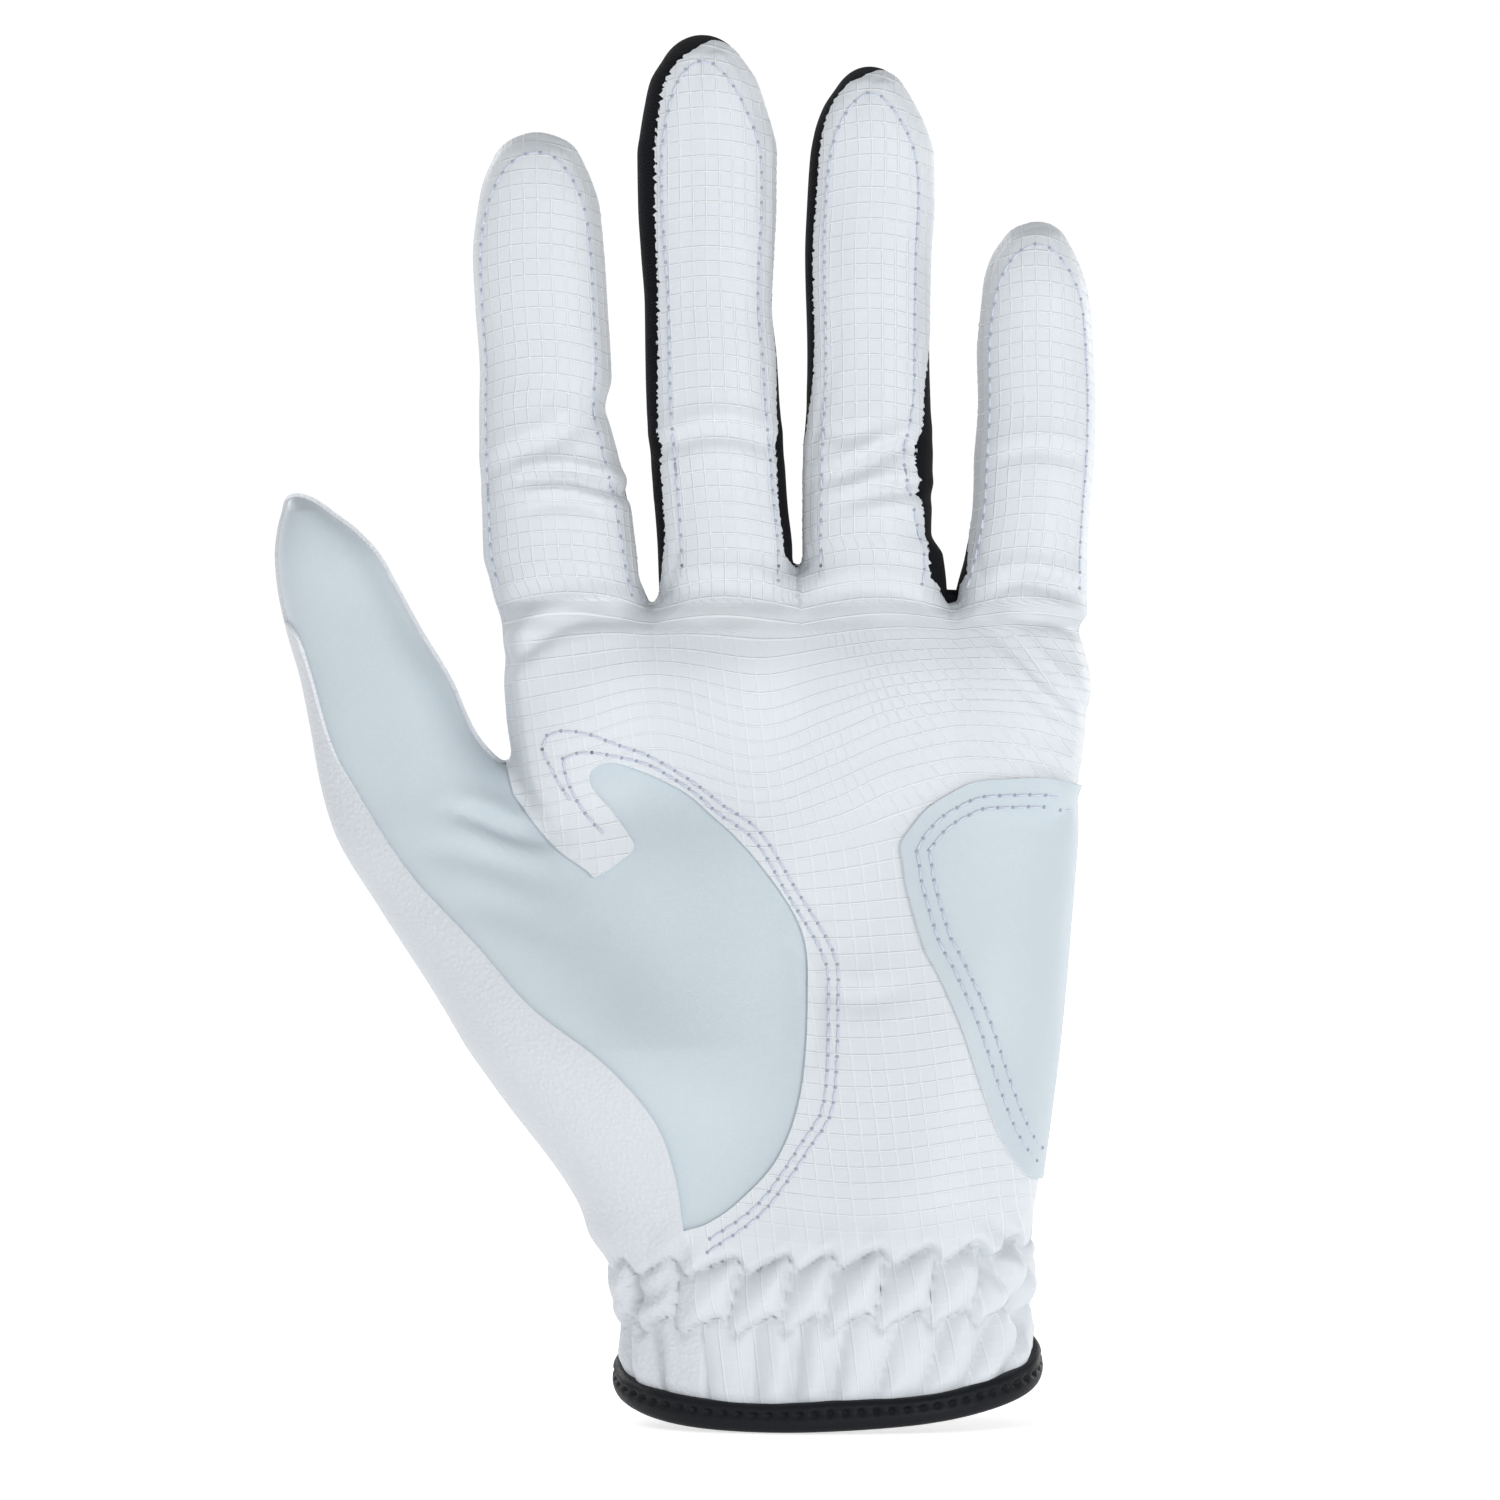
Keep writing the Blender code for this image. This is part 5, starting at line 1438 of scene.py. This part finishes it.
palm_zone = hand & (layer == 0) & ~in_thumb & ~in_heel & ~in_tongue
hand_panel("palm_panel", palm_zone, GRID_SHEET)
hand_panel("thumb_crotch_tab", in_tongue, GRID_SHEET)
hand_panel("heel_patch", in_heel, PATCH_SHEET)
hand_panel("thumb_leather_base", hand & in_thumb & leather, THENAR_SHEET)
hand_panel("thumb_side_panel", hand & in_thumb & ~leather, PEBBLE_SHEET)
hand_panel("back_panel", back_zone & (insert_low < 0), PEBBLE_SHEET)
hand_panel("knuckle_stretch_insert", back_zone & (insert_low > 0) & (insert_high < 0), INSERT_SHEET)
hand_panel("back_knuckle_panel", back_zone & (insert_high > 0), PEBBLE_SHEET)
for label, low_x, high_x in (("index_middle", -60, -17), ("middle_ring", -17, 7), ("ring_little", 7, 60)):
    hand_panel(f"web_gusset_{label}", web_zone & (cx > low_x) & (cx < high_x), KNIT_SHEET)


def limb_panel(node, mask, sheet):
    """A panel of one stage of a limb, with its transform baked into its mesh."""
    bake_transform(sheet_piece(node, mask, sheet))


def limb_sheets(name, stage):
    """Each piece of a limb's stage: node name, mask and sheet."""
    if name == "thumb":
        return [(f"thumb_leather_{stage}", leather, THENAR_SHEET),
                (f"thumb_back_{stage}", ~leather, PEBBLE_SHEET)]
    sheets = [(f"{name}_palm_face_{stage}", layer == 0, GRID_SHEET),
              (f"{name}_back_{stage}", layer == 2, PEBBLE_SHEET)]
    left, right = edges_at(cz, LIMBS[name]["edges"])
    thumb_side = cx < (left + right) / 2.0
    sides = (("_thumb_side", thumb_side), ("_little_side", ~thumb_side))
    if name in ("index", "little"):
        sides = (("", True),)
    for label, half in sides:
        sheets.append((f"{name}_fourchette{label}_{stage}", (layer == 1) & half, KNIT_SHEET))
    return sheets


for k, name in enumerate(LIMBS):
    cut = LIMBS[name]["cut"]
    stages = (("lower", 1, ("hand", f"{name}_lower"), cut),
              ("upper", 2, (f"{name}_lower", f"{name}_upper"), (cut[1], FRAMES[name][2] + BEND_PAST_MIDDLE)))
    for stage, level, bodies, span in stages:
        for node, mask, sheet in limb_sheets(name, stage):
            limb_panel(node, mask & (number == k) & (zone == level), sheet)


# ---- cuff binding, elastics, slit and fastening ---------------------------------------------------
def wrist_ring(angles, level):
    """The body's point and level outward direction at each angle, at the height level(x, y)."""
    run = np.stack([np.sin(angles), -np.cos(angles)], axis=1)
    low, high = np.full(len(angles), 5.0), np.full(len(angles), 45.0)
    for _ in range(24):
        middle = (low + high) / 2.0
        xy = run * middle[:, None]
        spot = np.column_stack([xy, level(*xy.T)])
        inside = body_value(spot) < 0
        low, high = np.where(inside, middle, low), np.where(inside, high, middle)
    slope = body_gradient(spot)
    slope[:, 2] = 0.0
    return spot, slope / np.linalg.norm(slope, axis=1)[:, None]


def sweep_mesh(rings):
    """A skin over rings of points, capped at both ends."""
    count, sides = len(rings), len(rings[0])
    points = np.concatenate(rings)
    a = np.arange(count - 1)[:, None] * sides + np.arange(sides)[None, :]
    b = np.arange(count - 1)[:, None] * sides + (np.arange(sides)[None, :] + 1) % sides
    c, d = b + sides, a + sides
    triangles = np.concatenate([np.stack(corners, -1).reshape(-1, 3) for corners in ((a, b, c), (a, c, d))])
    for first, turn in ((0, 1), ((count - 1) * sides, -1)):
        middle = len(points)
        points = np.concatenate([points, points[first:first + sides].mean(axis=0)[None]])
        fan = np.stack([np.full(sides, middle), first + (np.arange(sides) + 1) % sides,
                        first + np.arange(sides)], axis=1)
        triangles = np.concatenate([triangles, fan[:, ::turn]])
    return points, triangles


def swept_object(name, rings, material):
    points, triangles = sweep_mesh(rings)
    return add_object(name, make_mesh(name, points, triangles, np.zeros(len(triangles))), [material])


BINDING_HEIGHT = 4.7
BINDING_HALF = 1.75
BINDING_INSET = 0.45
BINDING_STEPS = 1100
BINDING_ROW = 2.95
# height above the hem where the body is first measured, and how far up it is measured again
BINDING_SPAN = (0.8, 3.6)
SLIT_HALF_ANGLE = 0.10
SLIT_START = 15.0
SLIT_MARGIN = 0.5


def cuff_binding():
    """A rolled tape round the hem with one row of sewing pulled into it."""
    angles = np.linspace(-math.pi + SLIT_HALF_ANGLE, math.pi - SLIT_HALF_ANGLE, BINDING_STEPS)
    low, way = wrist_ring(angles, lambda x, y: hem_height(x, y) + BINDING_SPAN[0])
    top, _ = wrist_ring(angles, lambda x, y: hem_height(x, y) + BINDING_SPAN[0] + BINDING_SPAN[1])
    arc = np.concatenate([[0], np.cumsum(np.linalg.norm(np.diff(low, axis=0), axis=1))])
    rings = []
    turns = np.linspace(0, math.tau, 40, endpoint=False)
    stitch = np.abs((arc / STITCH_PITCH + 0.5) % 1.0 - 0.5) * STITCH_PITCH
    for k in range(BINDING_STEPS):
        cos, sin = np.cos(turns), np.sin(turns)
        out = BINDING_HALF * np.sign(cos) * np.abs(cos) ** 0.75
        up = BINDING_HEIGHT / 2 * (1 + np.sign(sin) * np.abs(sin) ** 0.85)
        sewn = np.exp(-((up - BINDING_ROW) / 0.42) ** 2) * (out > 0)
        dent = np.exp(-(stitch[k] / 0.55) ** 2)
        out = out - sewn * (0.35 + 0.65 * dent)
        out = out + 0.14 * math.sin(arc[k] / 3.1) * (out > 0) + 0.10 * math.sin(arc[k] / 1.3 + 1) * (up > 3)
        up = up + 0.16 * math.sin(arc[k] / 4.3) * (up > 3)
        share = np.clip((up - BINDING_SPAN[0]) / BINDING_SPAN[1], 0, 1)[:, None]
        base = low[k] * (1 - share) + top[k] * share
        ring = base + way[k] * (out[:, None] - BINDING_INSET)
        ring[:, 2] = hem_height(low[k][0], low[k][1]) + up
        rings.append(ring)
    return swept_object("cuff_binding_tape", rings, BINDING)


# cross-section of an elastic: distance out from the body, height above its row
ELASTIC_PROFILE = ((-3.4, -2.2), (-2.7, -2.4), (-2.7, 2.4), (-3.4, 2.2))
ELASTIC_RIPPLE = 0.18
ELASTIC_END = 0.12


def elastic_band(name, which):
    """A flat elastic inside the cuff, under its row of gathers."""
    angles = np.linspace(-math.pi + ELASTIC_END, math.pi - ELASTIC_END, 300)
    rings = []
    level, slope = CUFF_ROWS[which]
    spot, way = wrist_ring(angles, lambda x, y: level + slope * x)
    for k in range(len(angles)):
        ripple = ELASTIC_RIPPLE * math.sin(k * 0.9)
        ring = []
        for out, up in ELASTIC_PROFILE:
            ring.append((*(spot[k] + way[k] * (out + ripple))[:2], level + slope * spot[k][0] + up))
        rings.append(np.array(ring))
    return swept_object(name, rings, STRETCH)


TAPE_PITCH = 0.5
TAPE_HALF = (1.5, 0.95)
TAPE_LIFT = 0.35
TAPE_ROW = 0.5


def slit_tape():
    """A folded tape laid round the wrist slit on the back, with its stitches pulled into it."""
    half_width, half_height = TAPE_HALF
    found = [f for f in cast_row(even_points(slit_outline(), TAPE_PITCH), 1, TAPE_LIFT) if f is not None]
    spots = np.array([f[0] for f in found])
    normals = np.array([f[1] for f in found])
    for _ in range(6):
        normals[1:-1] = (normals[:-2] + normals[1:-1] + normals[2:]) / 3.0
        spots[1:-1] = (spots[:-2] + spots[1:-1] + spots[2:]) / 3.0
    run = np.gradient(spots, axis=0)
    run /= np.linalg.norm(run, axis=1)[:, None]
    turns = np.linspace(0, math.tau, 20, endpoint=False)
    rings = []
    for k in range(len(spots)):
        side = np.cross(run[k], normals[k])
        side /= np.linalg.norm(side)
        over = np.cross(side, run[k])
        dent = math.exp(-((((k * TAPE_PITCH) % STITCH_PITCH) - STITCH_PITCH / 2.0) / 0.5) ** 2)
        height = half_height * np.sign(np.sin(turns)) * np.abs(np.sin(turns)) ** 0.7
        width = half_width * np.cos(turns)
        height = height - (np.sin(turns) > 0) * 0.3 * dent * np.exp(-((width - TAPE_ROW) / 0.4) ** 2)
        rings.append(spots[k] + width[:, None] * side + height[:, None] * over)
    return swept_object("slit_binding_tape", rings, BINDING)


def slit_outline():
    """The tape's middle line: up the slit's left side, round its top and down its right side."""
    heights = np.linspace(SLIT_START, SLIT_TOP, 40)
    half = SLIT_HALF[0] - SLIT_HALF[1] * heights / SLIT_TOP + SLIT_MARGIN
    turns = np.linspace(0, math.pi, 12)[1:-1]
    left = list(zip(SLIT_X - half, heights))
    bend = [(SLIT_X - half[-1] * math.cos(t), SLIT_TOP + half[-1] * math.sin(t)) for t in turns]
    right = list(zip(SLIT_X + half, heights))[::-1]
    return np.array(left + bend + right)


CORNER_STEPS = 9
OUTLINE_PITCH = 0.6


def rounded_box(low, high, radii):
    """An (x, z) outline with its own corner radius at each corner, from the lower left, turning left."""
    corners = ((low[0], low[1], math.pi), (high[0], low[1], 1.5 * math.pi), (high[0], high[1], 0.0),
               (low[0], high[1], 0.5 * math.pi))
    signs = ((1, 1), (-1, 1), (-1, -1), (1, -1))
    line = []
    for (x, z, start), (sx, sz), radius in zip(corners, signs, radii):
        x, z = x + sx * radius, z + sz * radius
        for turn in np.linspace(start, start + math.pi / 2, CORNER_STEPS):
            line.append((x + radius * math.cos(turn), z + radius * math.sin(turn)))
    return even_points(line + line[:1], OUTLINE_PITCH)[:-1]


BACK_LEAN = -0.0999
FACE_MARGIN = 0.0006


def node_face(node):
    """Height y of a CAD plate's outer face as a function of (x, z), from rays at its middle."""
    source = frame["nodes"][node]
    tree = BVHTree.FromObject(source, bpy.context.evaluated_depsgraph_get())
    low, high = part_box(node)
    mid = (low.z + high.z) / 2
    places, levels = [], []
    for x in np.linspace(low.x + FACE_MARGIN, high.x - FACE_MARGIN, 30):
        hit = tree.ray_cast(Vector((x, RAY_START * MM, mid)), Vector((0, -1, 0)))[0]
        if hit is not None:
            places.append(x * PER_METRE)
            levels.append(hit.y * PER_METRE)
    return lambda x, z: np.interp(x, places, levels) + BACK_LEAN * (z - mid * PER_METRE)


EDGE_ROUND = 0.5
EDGE_WIDTH = 0.9


def plate(outline, face, thick):
    """A soft flat piece with rounded edges: rings of its outline on its outer face and its inner face."""
    middle = (outline.min(axis=0) + outline.max(axis=0)) / 2.0
    size = np.abs(outline - middle).max()
    rim = 1 - 0.14 * np.cos(np.linspace(0, math.pi / 2, 9))[1:]
    shares = np.concatenate([np.linspace(0.04, 0.86, 22), rim])
    rings = []
    for share in shares:
        spot = middle + (outline - middle) * share
        inward = (1 - share) * size
        drop = EDGE_ROUND * (1 - math.sqrt(1 - (1 - min(inward / EDGE_WIDTH, 1.0)) ** 2))
        rings.append(np.column_stack([spot[:, 0], face(*spot.T) - drop, spot[:, 1]]))
    for share in shares[::-1]:
        spot = middle + (outline - middle) * share
        rings.append(np.column_stack([spot[:, 0], face(*spot.T) - thick, spot[:, 1]]))
    points, triangles = sweep_mesh(rings)
    return points, triangles[:, ::-1]


PLATE_ROW_LIFT = 0.05
PLATE_NORMAL = (0.0, 0.995, 0.0995)


def sewn_row(outline, inset, face):
    line = offset_line(np.concatenate([outline, outline[:1]]), inset)
    return [(np.array([x, float(face(x, z)) + PLATE_ROW_LIFT, z]), np.array(PLATE_NORMAL))
            for x, z in even_points(line, STITCH_PITCH)]


def plate_object(node, radii, thick, material, rows=()):
    """A plate over a CAD node's outer face, with a row of sewing at each inset of rows."""
    outline = node_outline(node, radii)
    face = node_face(node)
    points, triangles = plate(outline, face, thick)
    kinds = np.zeros(len(triangles), int)
    local = Stitches()
    for inset in rows:
        local.row(sewn_row(outline, inset, face))
    extra, extra_faces, extra_kinds = local.geometry(local.bars)
    triangles = np.concatenate([triangles, extra_faces + len(points)])
    kinds = np.concatenate([kinds, extra_kinds])
    mesh = make_mesh(node + "_skin", np.concatenate([points, extra]), triangles, kinds)
    return add_object(node + "_skin", mesh, [material, LINING, THREAD, HOLE_SHADE])


def node_outline(node, radii):
    low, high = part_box(node)
    corners = [(end.x * PER_METRE, end.z * PER_METRE) for end in (low, high)]
    return rounded_box(*corners, radii)


def build_fastening():
    """The closure tab, its hook patch, the loop patch and the tab's sewn end."""
    leather = (PEBBLE, "pebble_leather")
    plates = (("closure_tab", (0.8, 8.5, 8.5, 0.8), 1.3, leather, (2.0, 3.4), "closure_flap"),
              ("hook_patch", (1.5, 5.0, 5.0, 1.5), 0.5, (HOOK, "hook_tape"), (), "closure_flap"),
              ("loop_patch", (1.5, 1.5, 1.5, 1.5), 0.7, (LOOP, "loop_tape"), (), "hand"),
              ("tab_sewn_end", (1.5, 0.6, 0.6, 1.5), 1.0, leather, (1.6,), "hand"))
    for node, radii, thick, (material, slot), rows, body in plates:
        piece = plate_object(node, radii, thick, material, rows)
        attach(piece, body)
        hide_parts(node)


def build_cuff_parts():
    pieces = ((cuff_binding(), "cuff_binding", "black_binding"),
              (elastic_band("wrist_elastic_upper_band", 1), "wrist_elastic_upper", "elastic"),
              (elastic_band("wrist_elastic_lower_band", 0), "wrist_elastic_lower", "elastic"),
              (slit_tape(), "slit_binding", "black_binding"))
    for piece, node, slot in pieces:
        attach(piece, "hand")
        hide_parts(node)


hand_panel("slit_gusset", in_slit, GUSSET_SHEET)
build_cuff_parts()
build_fastening()


# ---- stage, light and camera, in metres ----------------------------------------------------------
FLOOR_HALF = 30.0
FLOOR_TONE = 0.9
FLOOR_GLOW = 0.6
AIM = (-0.013, 0.0, 0.105)
LENS = 150.0
SENSOR = 36.0
FRAME_WIDTH = 0.240
FRAME_CENTRE = (-0.0127, 0.1072)
# the sky's strength at the height of its fade's start and end
SKY_FADE = (0.10, 0.70)
SKY_STRENGTH = (1.03, 0.38)
# name: place, diameter, power
LAMPS = {
    "key": ((0.62, -1.0, 0.16), 0.36, 4.4),
    "top": ((-0.6, -0.75, 0.95), 0.7, 1.2),
    "back_left": ((-0.6, 0.9, 0.75), 0.6, 3.6),
    "back_right": ((0.75, 0.8, 0.3), 0.5, 2.2),
}


def add_floor():
    shader = Shader("studio_floor", 0.9, 0.1)
    mesh = bpy.data.meshes.new("studio_floor")
    size = FLOOR_HALF
    mesh.from_pydata([(-size, -size, 0), (size, -size, 0), (size, size, 0), (-size, size, 0)], [],
                     [(0, 1, 2, 3)])
    floor = add_object("studio_floor", mesh, [shader.material])
    shader.surface.inputs["Base Color"].default_value = (FLOOR_TONE, FLOOR_TONE, FLOOR_TONE, 1.0)
    shader.surface.inputs["Emission Color"].default_value = (1.0, 1.0, 1.0, 1.0)
    shader.surface.inputs["Emission Strength"].default_value = FLOOR_GLOW


def add_light(name, place, size, power):
    light = bpy.data.lights.new(name, "AREA")
    light.shape = "DISK"
    light.size = size
    light.energy = power
    lamp = bpy.data.objects.new(name, light)
    lamp.location = place
    lamp.rotation_euler = (Vector(AIM) - Vector(place)).to_track_quat("-Z", "Y").to_euler()
    bpy.context.scene.collection.objects.link(lamp)


def add_camera():
    """A straight front view of the palm side with a long lens."""
    data = bpy.data.cameras.new("camera")
    data.lens = LENS
    data.sensor_width = SENSOR
    data.clip_start = 0.05
    distance = FRAME_WIDTH * data.lens / data.sensor_width
    camera = bpy.data.objects.new("camera", data)
    camera.location = (FRAME_CENTRE[0], -distance, FRAME_CENTRE[1])
    camera.rotation_euler = (math.pi / 2, 0.0, 0.0)
    bpy.context.scene.collection.objects.link(camera)
    bpy.context.scene.camera = camera


def add_world():
    """A white sky that is weaker overhead."""
    world = bpy.data.worlds.new("studio")
    world.use_nodes = True
    nodes, links = world.node_tree.nodes, world.node_tree.links
    place = nodes.new("ShaderNodeTexCoord")
    axes = nodes.new("ShaderNodeSeparateXYZ")
    fade = nodes.new("ShaderNodeMapRange")
    for socket, value in zip(list(fade.inputs)[1:5], (*SKY_FADE, *SKY_STRENGTH)):
        socket.default_value = value
    nodes["Background"].inputs["Color"].default_value = (1.0, 1.0, 1.0, 1.0)
    links.new(place.outputs["Generated"], axes.inputs[0])
    links.new(axes.outputs["Z"], fade.inputs[0])
    links.new(fade.outputs[0], nodes["Background"].inputs["Strength"])
    bpy.context.scene.world = world


add_floor()
add_world()
for name, (place, size, power) in LAMPS.items():
    add_light(name, place, size, power)
add_camera()
bpy.context.scene.view_settings.view_transform = "Standard"
